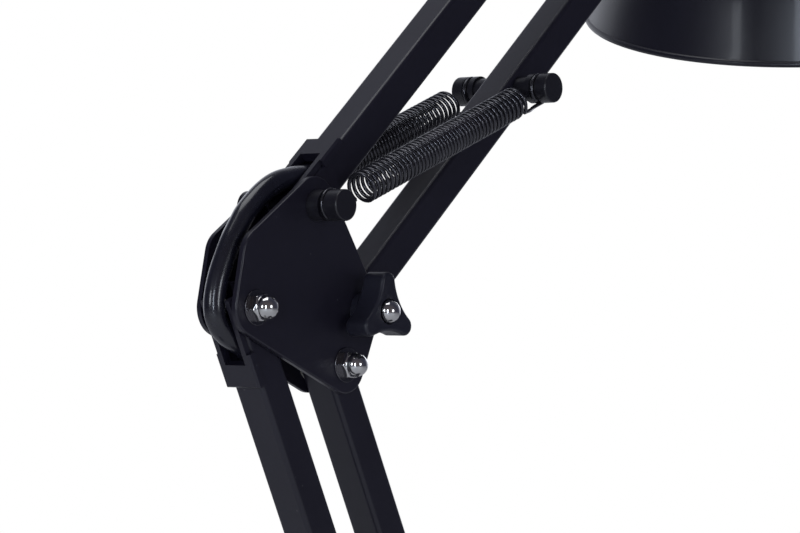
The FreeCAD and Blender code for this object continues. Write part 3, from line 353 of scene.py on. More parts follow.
def frameAt(origin, way, side=None):
    # a matrix whose +Z runs along way, placed at origin; side is roughly its +X
    z = Vector(way).normalized()
    guess = Vector(side) if side else (Vector((1, 0, 0)) if abs(z.x) < 0.9 else Vector((0, 0, 1)))
    x = (guess - z * guess.dot(z)).normalized()
    turn = Matrix((x, z.cross(x), z)).transposed().to_4x4()
    return Matrix.Translation(origin) @ turn


def meshFrom(name, points, faces):
    mesh = bpy.data.meshes.new(name)
    mesh.from_pydata([tuple(p) for p in points], [], faces)
    mesh.update()
    return mesh


def join(name, meshes):
    # one mesh from several, keeping each one's materials
    work = bmesh.new()
    slots = []
    for mesh in meshes:
        start = len(work.faces)
        moved = {}
        for i, material in enumerate(mesh.materials):
            if material not in slots:
                slots.append(material)
            moved[i] = slots.index(material)
        work.from_mesh(mesh)
        work.faces.ensure_lookup_table()
        for face in work.faces[start:]:
            face.material_index = moved.get(face.material_index, 0)
    whole = bpy.data.meshes.new(name)
    work.to_mesh(whole)
    work.free()
    for material in slots:
        whole.materials.append(material)
    return whole


def ringed(outline, segments, closed=False):
    # turns an outline of (radius, height) about Z; a radius of 0 closes the surface at a pole
    points, faces, rows = [], [], []
    for radius, height in outline:
        if radius < 1e-9:
            rows.append([len(points)] * segments)
            points.append((0, 0, height))
            continue
        rows.append(list(range(len(points), len(points) + segments)))
        for i in range(segments):
            turn = 2 * math.pi * i / segments
            points.append((radius * math.cos(turn), radius * math.sin(turn), height))
    pairs = list(zip(rows, rows[1:])) + ([(rows[-1], rows[0])] if closed else [])
    for low, high in pairs:
        for i in range(segments):
            j = (i + 1) % segments
            corners = [low[i], low[j], high[j], high[i]]
            kept = [c for n, c in enumerate(corners) if c not in corners[:n]]
            if len(kept) > 2:
                faces.append(kept)
    return points, faces


def rounded(corners, steps=4):
    # an outline whose corners (radius, height, rounding) become short arcs
    out = []
    for i, (r, z, soft) in enumerate(corners):
        here = Vector((r, z))
        if soft <= 0 or i in (0, len(corners) - 1):
            out.append((r, z))
            continue
        back = Vector(corners[i - 1][:2]) - here
        on = Vector(corners[i + 1][:2]) - here
        half = back.angle(on) / 2
        reach = min(soft / math.tan(half), back.length * 0.49, on.length * 0.49)
        radius = reach * math.tan(half)
        centre = here + (back.normalized() + on.normalized()).normalized() * (radius / math.sin(half))
        first, last = here + back.normalized() * reach - centre, here + on.normalized() * reach - centre
        sweep = first.angle_signed(last)
        for n in range(steps + 1):
            turned = first.copy()
            turned.rotate(Matrix.Rotation(-sweep * n / steps, 2))
            out.append(tuple(centre + turned))
    return out


def settle(piece, sharp=34, merge=1e-7):
    # merged, facing outwards, with its shading weighted towards the large faces
    work = bmesh.new()
    work.from_mesh(piece.data)
    bmesh.ops.remove_doubles(work, verts=work.verts, dist=merge)
    bmesh.ops.recalc_face_normals(work, faces=work.faces)
    work.to_mesh(piece.data)
    work.free()
    piece.data.shade_smooth()
    piece.data.set_sharp_from_angle(angle=math.radians(sharp))
    weighted = piece.modifiers.new("Weighted", "WEIGHTED_NORMAL")
    weighted.keep_sharp = True
    weighted.weight = 60
    return applied(piece)


def applied(piece):
    # the evaluated shape as a plain mesh, with no modifier left
    bpy.context.view_layer.update()
    graph = bpy.context.evaluated_depsgraph_get()
    mesh = bpy.data.meshes.new_from_object(piece.evaluated_get(graph), preserve_all_data_layers=True,
                                           depsgraph=graph)
    piece.modifiers.clear()
    old = piece.data
    piece.data = mesh
    mesh.name = old.name
    bpy.data.meshes.remove(old)
    return piece


def hand(piece, body, material=None, nodes=()):
    # gives a finished piece its material, its body and the frame nodes that it stands for
    if material:
        piece.data.materials.clear()
        piece.data.materials.append(material)
    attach(piece, body)
    for name in nodes:
        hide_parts(name)
    return piece


def turnedPiece(name, outline, place, segments=96, steps=4, closed=True, sharp=34):
    points, faces = ringed(rounded(outline, steps), segments, closed)
    mesh = meshFrom(name, points, faces)
    mesh.transform(place)
    return settle(link(name, mesh), sharp)


# geometry node trees

class Tree:
    # a geometry node tree with named inputs
    def __init__(self, name, inputs):
        self.tree = bpy.data.node_groups.new(name, "GeometryNodeTree")
        face = self.tree.interface
        face.new_socket("Geometry", in_out="INPUT", socket_type="NodeSocketGeometry")
        face.new_socket("Geometry", in_out="OUTPUT", socket_type="NodeSocketGeometry")
        self.words = {}
        for word, (kind, value) in inputs.items():
            socket = face.new_socket(word, in_out="INPUT", socket_type="NodeSocket" + kind)
            if value is not None:
                socket.default_value = value
            self.words[word] = socket.identifier
        self.start = self.tree.nodes.new("NodeGroupInput")
        self.end = self.tree.nodes.new("NodeGroupOutput")

    def node(self, kind, settings, values, output=0):
        made = self.tree.nodes.new(kind)
        for word, value in settings.items():
            setattr(made, word, value)
        pairs = values.items() if isinstance(values, dict) else enumerate(values)
        for key, value in pairs:
            if isinstance(value, Socket):
                self.tree.links.new(value.output, made.inputs[key])
            else:
                made.inputs[key].default_value = value
        return Socket(self, made.outputs[output])

    def given(self, word):
        return Socket(self, self.start.outputs[word])

    def finish(self, shape, material):
        real = self.node("GeometryNodeRealizeInstances", {}, [shape])
        done = self.node("GeometryNodeSetMaterial", {}, {0: real, "Material": material})
        self.tree.links.new(done.output, self.end.inputs[0])

    def run(self, name, base, values):
        # the tree's result on a base mesh, as a plain object
        piece = link(name, base)
        modifier = piece.modifiers.new("Nodes", "NODES")
        modifier.node_group = self.tree
        for word, value in values.items():
            modifier[self.words[word]] = value
        return applied(piece)


def scatterTree():
    # puts one shape on every point of the base mesh, turned by the point's own "turn"
    tree = Tree("onePerPoint", {"Shape": ("Object", None), "Material": ("Material", None)})
    info = tree.node("GeometryNodeObjectInfo", {}, {"Object": tree.given("Shape")}, "Geometry")
    turn = tree.node("GeometryNodeInputNamedAttribute", {"data_type": "FLOAT_VECTOR"}, {"Name": "turn"})
    angles = tree.node("FunctionNodeEulerToRotation", {}, {"Euler": turn})
    placed = tree.node("GeometryNodeInstanceOnPoints", {},
                       {"Points": tree.given("Geometry"), "Instance": info, "Rotation": angles})
    tree.finish(placed, tree.given("Material"))
    return tree


def helixTree():
    # a wound spring along +Z: a line bent into turns, its pitch a little wider at both ends
    tree = Tree("woundSpring", {"Turns": ("Float", 40.0), "Coil radius": ("Float", 0.0048),
                                "Wire radius": ("Float", 0.0006), "Length": ("Float", 0.08),
                                "Loosening": ("Float", 0.1), "Steps": ("Int", 1000),
                                "First angle": ("Float", 0.0), "Material": ("Material", None)})
    line = tree.node("GeometryNodeCurvePrimitiveLine", {}, {"Start": (0, 0, 0), "End": (0, 0, 1)})
    fine = tree.node("GeometryNodeResampleCurve", {}, {"Curve": line, "Count": tree.given("Steps")})
    share = tree.node("GeometryNodeSplineParameter", {}, {}, "Factor")
    angle = share * tree.given("Turns") * (2 * math.pi) + tree.given("First angle")
    ease = share.maths("SINE", share * (2 * math.pi)) * tree.given("Loosening") * (1 / (2 * math.pi))
    across = share.maths("COSINE", angle) * tree.given("Coil radius")
    along = share.maths("SINE", angle) * tree.given("Coil radius")
    spot = tree.node("ShaderNodeCombineXYZ", {}, [across, along, (share + ease) * tree.given("Length")])
    moved = tree.node("GeometryNodeSetPosition", {}, {"Geometry": fine, "Position": spot})
    ring = tree.node("GeometryNodeCurvePrimitiveCircle", {},
                     {"Resolution": 10, "Radius": tree.given("Wire radius")})
    tube = tree.node("GeometryNodeCurveToMesh", {},
                     {"Curve": moved, "Profile Curve": ring, "Fill Caps": False})
    tree.finish(tube, tree.given("Material"))
    return tree


scatter = scatterTree()
helix = helixTree()


def repeated(name, template, spots, material):
    # the template at every spot, a matrix each, by the tree; the template is removed
    base = meshFrom(name + "Spots", [spot.to_translation() for spot in spots], [])
    turns = base.attributes.new("turn", "FLOAT_VECTOR", "POINT")
    for item, spot in zip(turns.data, spots):
        item.vector = spot.to_euler()
    piece = scatter.run(name, base, {"Shape": template, "Material": material})
    piece.data.name = name
    mesh = template.data
    bpy.data.objects.remove(template)
    bpy.data.meshes.remove(mesh)
    piece.data.shade_smooth()
    piece.data.set_sharp_from_angle(angle=math.radians(34))
    return piece


# cords: the mains lead first

leadLook = {"diameter": 0.007, "sides": 20, "free": 1.8}
mainsRoute = [(-0.134, 0, 0.0152), (-0.150, 0.0005, 0.0144), (-0.168, 0.003, 0.009), (-0.186, 0.001, 0.004),
              (-0.206, -0.007, 0.0035), (-0.228, -0.003, 0.0036), (-0.247, 0.0095, 0.0042)]
plugRoute = [(-0.240, 0.115, 0.0105), (-0.216, 0.1185, 0.0064), (-0.192, 0.112, 0.0036),
             (-0.170, 0.104, 0.0037), (-0.152, 0.103, 0.0062), (-0.140, 0.103, 0.0072)]
coilLook = {"inner": 0.0285, "outer": 0.0498, "low": 0.0046, "high": 0.0114, "turns": 6, "perTurn": 14}


def coilPoints():
    # the put-away turns: one layer winding in, the next winding out on top of it
    low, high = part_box("lead_coil")
    centre = (low + high) / 2
    first = math.atan2(mainsRoute[-1][1] - centre.y, mainsRoute[-1][0] - centre.x)
    last = math.atan2(plugRoute[0][1] - centre.y, plugRoute[0][0] - centre.x)
    sweep = (first - last) % (2 * math.pi) + 2 * math.pi * coilLook["turns"]
    count = round(sweep / (2 * math.pi) * coilLook["perTurn"])
    out = []
    for i in range(1, count):
        share = i / count
        angle = first - sweep * share
        inward = 1 - abs(2 * share - 1)
        radius = coilLook["outer"] + (coilLook["inner"] - coilLook["outer"]) * inward
        radius += 0.0004 * math.sin(angle * 2 + share * 9)
        step = min(1, max(0, (share - 0.46) / 0.08))
        z = coilLook["low"] + (coilLook["high"] - coilLook["low"]) * step * step * (3 - 2 * step)
        out.append((centre.x + radius * math.cos(angle), centre.y + radius * math.sin(angle), z))
    return out


def cordCurve(name, points, diameter):
    data = bpy.data.curves.new(name, "CURVE")
    data.dimensions = "3D"
    spline = data.splines.new("NURBS")
    spline.points.add(len(points) - 1)
    for point, place in zip(spline.points, points):
        point.co = (*place, 1)
    spline.order_u = 3
    spline.use_endpoint_u = True
    spline.resolution_u = 8
    data.bevel_depth = diameter / 2
    data.bevel_resolution = 6
    data.use_fill_caps = True
    return link(name, data)


def makeMains():
    points = mainsRoute + coilPoints() + plugRoute
    lead = cordCurve("mainsLead", points, leadLook["diameter"])
    lead.data.materials.append(finish["sheath"])
    hand(lead, "base", None, ["mains_lead", "lead_coil", "plug_lead"])
    return lead


mainsLead = makeMains()


plugShape = {"neck": 0.0046, "rib": 0.0005, "width": 0.0175, "height": 0.007, "long": 0.049,
             "pinRadius": 0.002, "pinLength": 0.019, "pinApart": 0.019, "sleeve": 0.010}
# along the plug: (place, share of the width, share of the height, squareness)
plugSections = [(0.0150, 0.40, 0.84, 2.2), (0.0165, 0.58, 0.93, 2.6), (0.0190, 0.74, 0.985, 3.0),
                (0.0230, 0.86, 1.0, 3.6), (0.0270, 0.90, 0.97, 4.0), (0.0310, 0.90, 0.93, 4.2),
                (0.0350, 0.92, 0.93, 4.4), (0.0390, 0.96, 0.97, 4.6), (0.0430, 0.99, 1.0, 4.8),
                (0.0470, 1.0, 1.0, 5.0), (0.0484, 0.99, 0.985, 5.0), (0.0490, 0.965, 0.95, 5.0)]


def lofted(sections, sides=48):
    # rounded boxes along +X: each is (x, half width, half height, squareness)
    points, faces = [], []
    for x, wide, high, power in sections:
        for i in range(sides):
            turn = 2 * math.pi * i / sides
            c, s = math.cos(turn), math.sin(turn)
            y = wide * math.copysign(abs(c) ** (2 / power), c)
            z = high * math.copysign(abs(s) ** (2 / power), s)
            points.append((x, y, z))
    for row in range(len(sections) - 1):
        for i in range(sides):
            j = (i + 1) % sides
            faces.append([row * sides + i, row * sides + j, (row + 1) * sides + j, (row + 1) * sides + i])
    faces.append(list(range(sides))[::-1])
    faces.append(list(range((len(sections) - 1) * sides, len(sections) * sides)))
    return points, faces


def makePlug():
    # a flat two-pin plug with a ribbed neck and a finger waist
    low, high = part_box("mains_plug")
    middle = (low + high) / 2
    start = Vector((low.x, middle.y, middle.z))
    sections = []
    for i in range(15):
        x = i * 0.001
        rib = plugShape["rib"] * math.cos(i * math.pi / 1.5) if i < 12 else 0
        r = plugShape["neck"] + 0.0001 * i + rib
        sections.append((x, r, r, 2.0))
    wide, tall = plugShape["width"], plugShape["height"]
    for x, w, h, power in plugSections:
        sections.append((x, wide * w, tall * h, power))
    points, faces = lofted(sections)
    body = meshFrom("plugBody", [Vector(p) + start for p in points], faces)
    body.materials.append(finish["rubber"])
    face = start.x + plugShape["long"]
    pins = []
    radius, sheathed = plugShape["pinRadius"], plugShape["sleeve"]
    for side in (-1, 1):
        at = Vector((face - 0.001, middle.y + side * plugShape["pinApart"] / 2, middle.z))
        dark = rounded([(0, 0, 0), (radius, 0, 0), (radius, sheathed, 0.0002), (0, sheathed, 0)])
        tip = plugShape["pinLength"] + 0.001
        metal = rounded([(0, sheathed - 0.001, 0), (radius * 0.92, sheathed - 0.001, 0),
                         (radius * 0.92, tip, 0.0012), (0, tip, 0)], 6)
        for outline, material in ((dark, finish["rubber"]), (metal, finish["brass"])):
            mesh = meshFrom("pin", *ringed(outline, 32))
            mesh.transform(frameAt(at, (1, 0, 0)))
            mesh.materials.append(material)
            pins.append(mesh)
    plug = settle(link("mainsPlug", join("mainsPlug", [body] + pins)), 40)
    return hand(plug, "base", None, ["mains_plug"])


tieLook = {"half": 0.004, "thick": 0.0007, "inner": 0.0244, "clear": 0.0005, "steps": 72, "overlap": 13}


def makeTie():
    # a hook-and-loop strap round the turns, with its free end laid over
    low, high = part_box("lead_coil")
    centre = (low + high) / 2
    thick, steps = tieLook["thick"], tieLook["steps"]
    inner, outer = tieLook["inner"], (high.x - low.x) / 2 + tieLook["clear"]
    middle, reach, tall = (inner + outer) / 2, (outer - inner) / 2, (high.z - low.z) / 2 - 0.0004
    points, faces = [], []
    for i in range(steps + tieLook["overlap"]):
        turn = 2 * math.pi * i / steps + 0.9
        c, s = math.cos(turn), math.sin(turn)
        over = thick * 1.1 * min(1, max(0, (i - steps + 6) / 6))
        r = middle + (reach + over) * math.copysign(abs(c) ** 0.45, c)
        z = centre.z + (tall + over) * math.copysign(abs(s) ** 0.45, s)
        for y in (-tieLook["half"], tieLook["half"]):
            points.append((centre.x - r, centre.y + y, z))
        if i:
            n = 2 * i
            faces.append([n - 2, n - 1, n + 1, n])
    strap = link("coilTie", meshFrom("coilTie", points, faces))
    solid = strap.modifiers.new("Thick", "SOLIDIFY")
    solid.thickness, solid.offset = thick, 0
    bevel = strap.modifiers.new("Bevel", "BEVEL")
    bevel.width, bevel.segments = 0.00015, 2
    applied(strap)
    settle(strap, 40)
    return hand(strap, "base", finish["felt"])


mainsPlug = makePlug()
coilTie = makeTie()

reliefLook = {"length": 0.034, "flange": 0.0065, "root": 0.0056, "tip": 0.0044, "ribs": 7}


def makeRelief():
    # a tapered boot whose grooves let it bend
    low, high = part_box("strain_relief")
    exitPoint = Vector((low.x + reliefLook["length"], 0, mainsRoute[0][2]))
    bore = leadLook["diameter"] / 2 + 0.00005
    long, tip, flange, ribs = (reliefLook[word] for word in ("length", "tip", "flange", "ribs"))
    outline = [(bore, -0.005, 0), (tip, -0.005, 0), (tip, 0, 0.0002), (flange, 0, 0.0003),
               (flange, 0.002, 0.0006)]
    step = (long - 0.0075) / ribs
    for i in range(ribs):
        z = 0.0035 + step * i
        r = reliefLook["root"] + (tip - reliefLook["root"]) * i / ribs
        outline += [(r, z, 0.0003), (r, z + step * 0.55, 0.0004), (r - 0.0008, z + step * 0.62, 0.0002),
                    (r - 0.0008, z + step * 0.93, 0.0002)]
    outline += [(tip, long - 0.004, 0.0002), (tip, long, 0.0006), (bore, long, 0)]
    boot = turnedPiece("leadBoot", outline, frameAt(exitPoint, (-1, 0, 0)), 64, 3)
    return hand(boot, "base", finish["rubber"], ["strain_relief"])


makeRelief()
print("mains lead, coil, tie, plug and boot made")


# the lead along the arms

# the same places as the frame's tubes, each from the pivot that the lead passes
elbowRouteUpper = [(0.0235, 0.0195), (0.0181, 0.0158), (0.0100, 0.0098), (-0.0006, 0.0093), (-0.0120, 0.0068),
                   (-0.0230, -0.0015), (-0.0270, -0.0070)]
elbowRouteLower = [(-0.0270, -0.0070), (-0.0310, -0.0125), (-0.0365, -0.0240), (-0.0379, -0.0335),
                   (-0.0332, -0.0402), (-0.0222, -0.0447), (-0.0172, -0.0534), (-0.0150, -0.0590)]
footRoute = [(-0.0125, 0.0275), (-0.0103, 0.0217), (-0.0067, 0.0123), (-0.0099, 0.0008), (-0.0162, -0.0105),
             (-0.0202, -0.0225), (-0.0192, -0.0310), (-0.0147, -0.0371), (-0.0072, -0.0371), (0.0, -0.0371)]
headRoute = [(-0.0235, -0.0205), (-0.0181, -0.0158), (-0.0111, -0.0086), (-0.0089, 0.0042), (-0.0045, 0.0160),
             (0.0050, 0.0225), (0.0140, 0.0217), (0.0240, 0.0217)]


def smoothLine(points):
    # points along the smooth line that the route guides, read from its own spline
    data = bpy.data.curves.new("line", "CURVE")
    data.dimensions = "3D"
    spline = data.splines.new("NURBS")
    spline.points.add(len(points) - 1)
    for point, place in zip(spline.points, points):
        point.co = (*place, 1)
    spline.order_u = 3
    spline.use_endpoint_u = True
    spline.resolution_u = 12
    guide = link("line", data)
    bpy.context.view_layer.update()
    graph = bpy.context.evaluated_depsgraph_get()
    mesh = bpy.data.meshes.new_from_object(guide.evaluated_get(graph))
    line = [v.co.copy() for v in mesh.vertices]
    bpy.data.objects.remove(guide)
    bpy.data.meshes.remove(mesh)
    return line


def sleeve(name, line, radius, sides, flat=(0, 1, 0)):
    # a tube swept along a line, with closed ends
    points, faces = [], []
    for i, place in enumerate(line):
        way = (line[min(i + 1, len(line) - 1)] - line[max(i - 1, 0)]).normalized()
        side = (Vector(flat) - way * Vector(flat).dot(way)).normalized()
        other = way.cross(side)
        for n in range(sides):
            turn = 2 * math.pi * n / sides
            points.append(place + (side * math.cos(turn) + other * math.sin(turn)) * radius)
        if i:
            for n in range(sides):
                m = (n + 1) % sides
                row = i * sides
                faces.append([row - sides + n, row - sides + m, row + m, row + n])
    faces.append(list(range(sides))[::-1])
    faces.append(list(range((len(line) - 1) * sides, len(line) * sides)))
    return meshFrom(name, points, faces)


def makeLoops():
    radius = leadLook["diameter"] / 2
    whole = smoothLine([elbowPin + Vector((x, 0, z)) for x, z in elbowRouteUpper + elbowRouteLower[1:]])
    split = elbowPin + Vector((elbowRouteUpper[-1][0], 0, elbowRouteUpper[-1][1]))
    cut = min(range(len(whole)), key=lambda i: (whole[i] - split).length)
    split = whole[cut]
    runs = [
        ("leadElbowUpper", whole[:cut + 1], "elbow", "upper_left_bar", split, whole[0], "lead_elbow_upper"),
        ("leadElbowLower", whole[cut:], "elbow", "lower_left_bar", split, whole[-1], "lead_elbow_lower"),
    ]
    for name, route, at, a, b, node in (
            ("leadFootLoop", footRoute, footLeft, "foot", "lower_left_bar", "lead_foot_loop"),
            ("leadHeadLoop", headRoute, headLeft, "head_bracket", "upper_left_bar", "lead_head_loop")):
        line = smoothLine([at + Vector((x, 0, z)) for x, z in route])
        still = line[-1]
        runs.append((name, line, a, b, still, line[0], node))
    for name, line, a, b, start, end, node in runs:
        piece = link(name, sleeve(name, line, radius, leadLook["sides"]))
        settle(piece, 60)
        piece.data.materials.append(finish["sheath"])
        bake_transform(piece)
        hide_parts(node)


makeLoops()
print("lead loops made")


# springs

springLook = {"coil": 0.00475, "wire": 0.00064, "pitch": 0.00196, "reach": 0.015, "eye": 0.0047,
              "shift": 0.0008, "out": 0.0145, "loosening": 0.16, "start": 40, "hook": 310, "perTurn": 26}


def hookLine(flip):
    # one end of a spring, from the coil to the loop round the pin at the origin; the coil lies towards +Z
    eye, reach, coil, shift = springLook["eye"], springLook["reach"], springLook["coil"], springLook["shift"]
    line = []
    start = math.radians(springLook["start"])
    bend = shift + 0.004
    for i in range(9):
        t = i / 8
        ease = t * t * (3 - 2 * t)
        angle = start * (1 - ease)
        r = coil + (eye - coil) * ease
        line.append(Vector((r * math.cos(angle), r * math.sin(angle) * flip, reach - (reach - bend) * t)))
    for i in range(1, 6):
        line.append(Vector((eye, 0, bend + (shift - bend) * i / 5)))
    for i in range(1, 37):
        angle = math.radians(springLook["hook"]) * i / 36
        line.append(Vector((eye * math.cos(angle), 0.0005 * i / 36 * flip, shift - eye * math.sin(angle))))
    return line


def makeSpring(name, pin, cross, y, leftBody, rightBody, node):
    out = Vector((0, y, 0))
    way = cross - pin
    length = way.length
    reach = springLook["reach"]
    inside = length - 2 * reach
    turns, spare = round(inside / springLook["pitch"]), 2 * springLook["start"] / 360
    steps = int((turns + spare) * springLook["perTurn"])
    place = frameAt(pin + out, way, Vector((0, 1, 0)).cross(way))
    coil = helix.run(name, meshFrom(name, [(0, 0, 0)], []), {
        "Turns": turns - spare, "Coil radius": springLook["coil"], "Wire radius": springLook["wire"],
        "Length": inside, "Loosening": springLook["loosening"], "Steps": steps,
        "First angle": math.radians(springLook["start"]), "Material": finish["wire"]})
    coil.data.transform(Matrix.Translation((0, 0, reach)))
    near = sleeve("hook", hookLine(1), springLook["wire"], 10, (0, 1, 0.01))
    far = sleeve("hook", hookLine(-1), springLook["wire"], 10, (0, 1, 0.01))
    far.transform(Matrix.Translation((0, 0, length)) @ Matrix.Scale(-1, 4, (0, 0, 1)))
    far.flip_normals()
    for mesh in (near, far):
        mesh.materials.append(finish["wire"])
    whole = join(name, [coil.data, near, far])
    old = coil.data
    coil.data = whole
    bpy.data.meshes.remove(old)
    for mesh in (near, far):
        bpy.data.meshes.remove(mesh)
    group = coil.vertex_groups.new(name="stretch")
    eye = springLook["eye"] + springLook["wire"]
    for vertex in whole.vertices:
        share = min(1, max(0, (vertex.co.z - eye) / (length - 2 * eye)))
        group.add([vertex.index], share, "REPLACE")
    whole.transform(place)
    whole.shade_smooth()
    hand(coil, leftBody, None, [node])
    stretch = coil.modifiers.new("Stretch", "HOOK")
    stretch.object = frame["bodies"][rightBody]
    stretch.vertex_group = "stretch"
    stretch.falloff_type = "NONE"
    stretch.matrix_inverse = Matrix.Identity(4)
    return coil


def middleOf(node):
    low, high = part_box(node)
    return (low + high) / 2


crossUpper, crossLower = middleOf("upper_spring_bar"), middleOf("lower_spring_bar")
for word, y in (("Front", -springLook["out"]), ("Rear", springLook["out"])):
    for arm, pin, cross in (("upper", elbowPin, crossUpper), ("lower", footLeft, crossLower)):
        makeSpring(arm + "Spring" + word, pin, cross, y, arm + "_left_bar", arm + "_right_bar",
                   arm + "_springs")
print("springs made")


# fasteners

nutLook = {"flats": 0.008, "high": 0.0028, "dome": 0.00375, "neck": 0.001, "chamfer": 0.00042}


def hexMesh(name, levels, flats, segments=72):
    # rings that are round where round is less than the hexagon: (height, round radius)
    points, faces = [], []
    for height, limit in levels:
        for i in range(segments):
            turn = 2 * math.pi * i / segments
            corner = (turn + math.pi / 6) % (math.pi / 3) - math.pi / 6
            r = min(flats / 2 / math.cos(corner), limit)
            points.append((r * math.cos(turn), r * math.sin(turn), height))
    for row in range(len(levels) - 1):
        for i in range(segments):
            j = (i + 1) % segments
            low, high = row * segments, (row + 1) * segments
            faces.append([low + i, low + j, high + j, high + i])
    faces.append(list(range(segments))[::-1])
    faces.append(list(range((len(levels) - 1) * segments, len(levels) * segments)))
    return meshFrom(name, points, faces)


def capNut():
    # a domed nut: chamfered hexagon below, a ball end above
    flats, high, dome = nutLook["flats"], nutLook["high"], nutLook["dome"]
    corner = flats / 2 / math.cos(math.pi / 6)
    chamfer, full = nutLook["chamfer"], corner + 1e-5
    levels = [(0, corner - chamfer), (chamfer * 0.6, full), (high * 0.72, full)]
    for i in range(1, 7):
        t = i / 6
        levels.append((high * (0.72 + 0.28 * t), corner - (corner - dome * 1.02) * t ** 1.6))
    centre = high + nutLook["neck"]
    levels.append((high + nutLook["neck"] * 0.4, dome * 0.985))
    for i in range(0, 20):
        angle = math.radians(88) * i / 19
        levels.append((centre + dome * math.sin(angle), dome * math.cos(angle)))
    nut = link("capNut", hexMesh("capNut", levels, flats))
    return settle(nut, 30)


headLook = {"radius": 0.0045, "high": 0.0024, "socket": 0.0018, "deep": 0.0012, "key": 0.003}


def boltHead():
    # a pan head with a hexagon socket
    radius, high, socket, deep = (headLook[word] for word in ("radius", "high", "socket", "deep"))
    pan = meshFrom("pan", *ringed(rounded([
        (socket, deep, 0), (socket, high, 0.0001), (radius - 0.0001, high - 0.0001, 0.0009),
        (radius, 0.0, 0.0002), (0.0, 0.0, 0)]), 48))
    socket = hexMesh("socket", [(deep - 0.0003, 0.01), (deep, 0.01)], headLook["key"], 48)
    whole = join("boltHead", [pan, socket])
    return settle(link("boltHead", whole), 34)


def shankMesh(start, end, radius=0.0025):
    long = (end - start).length
    mesh = meshFrom("shank", *ringed([(0, 0), (radius, 0), (radius, long), (0, long)], 32))
    mesh.transform(frameAt(start, end - start))
    return mesh


# how far from the middle of the arms each face is
half = {"inner": 0.0065, "plate": 0.0085, "washer": 0.009, "cheek": 0.0099}
blockMiddle = middleOf("foot_block").z
footScrews = [Vector((0.010, 0, blockMiddle)), Vector((0.023, 0, blockMiddle))]
headScrews = [Vector((-0.028, 0, -0.0072)), Vector((-0.028, 0, 0.0072))]     # from the tilt axis


def withMore(piece, extra, body, node):
    # joins bright loose meshes to a piece before it is handed over
    for mesh in extra:
        mesh.materials.append(finish["chrome"])
    old = piece.data
    piece.data = join(piece.name, [old, *extra])
    bpy.data.meshes.remove(old)
    piece.data.shade_smooth()
    piece.data.set_sharp_from_angle(angle=math.radians(34))
    return hand(piece, body, None, [node])


def screwHead(at, way):
    # a small pan head with its rim rolled in
    outline = rounded([(0, 0.0018, 0), (0.0012, 0.0018, 0), (0.0027, 0.0016, 0.0008),
                       (0.0027, 0, 0.0001), (0, 0, 0)])
    mesh = meshFrom("screwHead", *ringed(outline, 40))
    mesh.transform(frameAt(at, way))
    return mesh


def fastenerSet(name, body, washered, plain, node, extra=()):
    # domed nuts on the front ends of the bolts, turned each its own way
    spots = []
    for i, at in enumerate(washered + plain):
        seat = half["washer"] if at in washered else half["plate"]
        side = Vector((math.cos(0.7 + 1.9 * i), 0, math.sin(0.7 + 1.9 * i)))
        spots.append(frameAt(at + front * seat, front, side))
    nuts = repeated(name + "Nuts", capNut(), spots, finish["chrome"])
    return withMore(nuts, extra, body, node)


def boltSet(name, body, washered, plain, node, extra=()):
    spots = []
    for i, at in enumerate(washered + plain):
        seat = half["washer"] if at in washered else half["plate"]
        spots.append(frameAt(at + rear * seat, rear, Vector((math.cos(i), 0, math.sin(i)))))
    heads = repeated(name + "Bolts", boltHead(), spots, finish["chrome"])
    end = half["washer"] - 0.00005
    shanks = [shankMesh(at + rear * end, at + front * end) for at in washered + plain]
    return withMore(heads, shanks + list(extra), body, node)


washerLook = {"bore": 0.00256, "radius": 0.0056, "thick": 0.0005, "discBore": 0.0031, "discRadius": 0.0055,
              "discThick": 0.0004}


def washerSet(name, body, pivots, inner, node):
    # flat washers outside the plates and thin discs inside them
    bore, radius, thick = washerLook["bore"], washerLook["radius"], washerLook["thick"]
    outline = rounded([(bore, 0.0001, 0), (bore, thick, 0.0001), (radius, thick, 0.00016),
                       (radius, 0.0, 0.0001), (bore, 0.0, 0.0001)], 3)
    washer = settle(link("washer", meshFrom("washer", *ringed(outline, 56, True))))
    spots = [frameAt(at + way * half["plate"], way) for at in pivots for way in (front, rear)]
    flats = repeated(name + "Washers", washer, spots, finish["washer"])
    bore, radius, thick = (washerLook["disc" + word] for word in ("Bore", "Radius", "Thick"))
    thin = rounded([(bore, 0.0, 0), (bore, thick, 0), (radius, thick, 0.0001), (radius, 0.0, 0.0001)], 2)
    disc = settle(link("disc", meshFrom("disc", *ringed(thin, 40, True))))
    spots = [frameAt(at + way * (half["inner"] - thick), way) for at in inner for way in (front, rear)]
    discs = repeated(name + "Discs", disc, spots, finish["bush"])
    whole = join(name + "Washers", [flats.data, discs.data])
    old = flats.data
    flats.data = whole
    bpy.data.objects.remove(discs)
    bpy.data.meshes.remove(old)
    whole.shade_smooth()
    whole.set_sharp_from_angle(angle=math.radians(34))
    return hand(flats, body, None, [node])


knobLook = {"lobe": 0.0031, "out": 0.0094, "waist": 0.0063, "high": 0.009, "edge": 0.0011, "boss": 0.006,
            "bossHigh": 0.0025, "pocket": 0.0041, "seat": 0.0012, "dome": 0.00375, "sunk": 0.0004}


def knobRadius(turn):
    # round lobes at the top and to both lower sides, joined by slightly hollow flanks
    lobe, out, waist = knobLook["lobe"], knobLook["out"], knobLook["waist"]
    off = abs((turn + math.radians(30)) % math.radians(120) - math.radians(60))
    away = (out ** 2 - (waist - lobe) ** 2) / (out - 2 * (waist - lobe))
    touch = Vector((away * 0.5 - out, away * math.sqrt(0.75))).normalized() * lobe
    past = math.radians(60) - off
    if past < math.atan2(touch.y, out + touch.x):
        return out * math.cos(past) + math.sqrt(lobe ** 2 - (out * math.sin(past)) ** 2)
    return away * math.cos(off) - math.sqrt((away - waist) ** 2 - (away * math.sin(off)) ** 2)


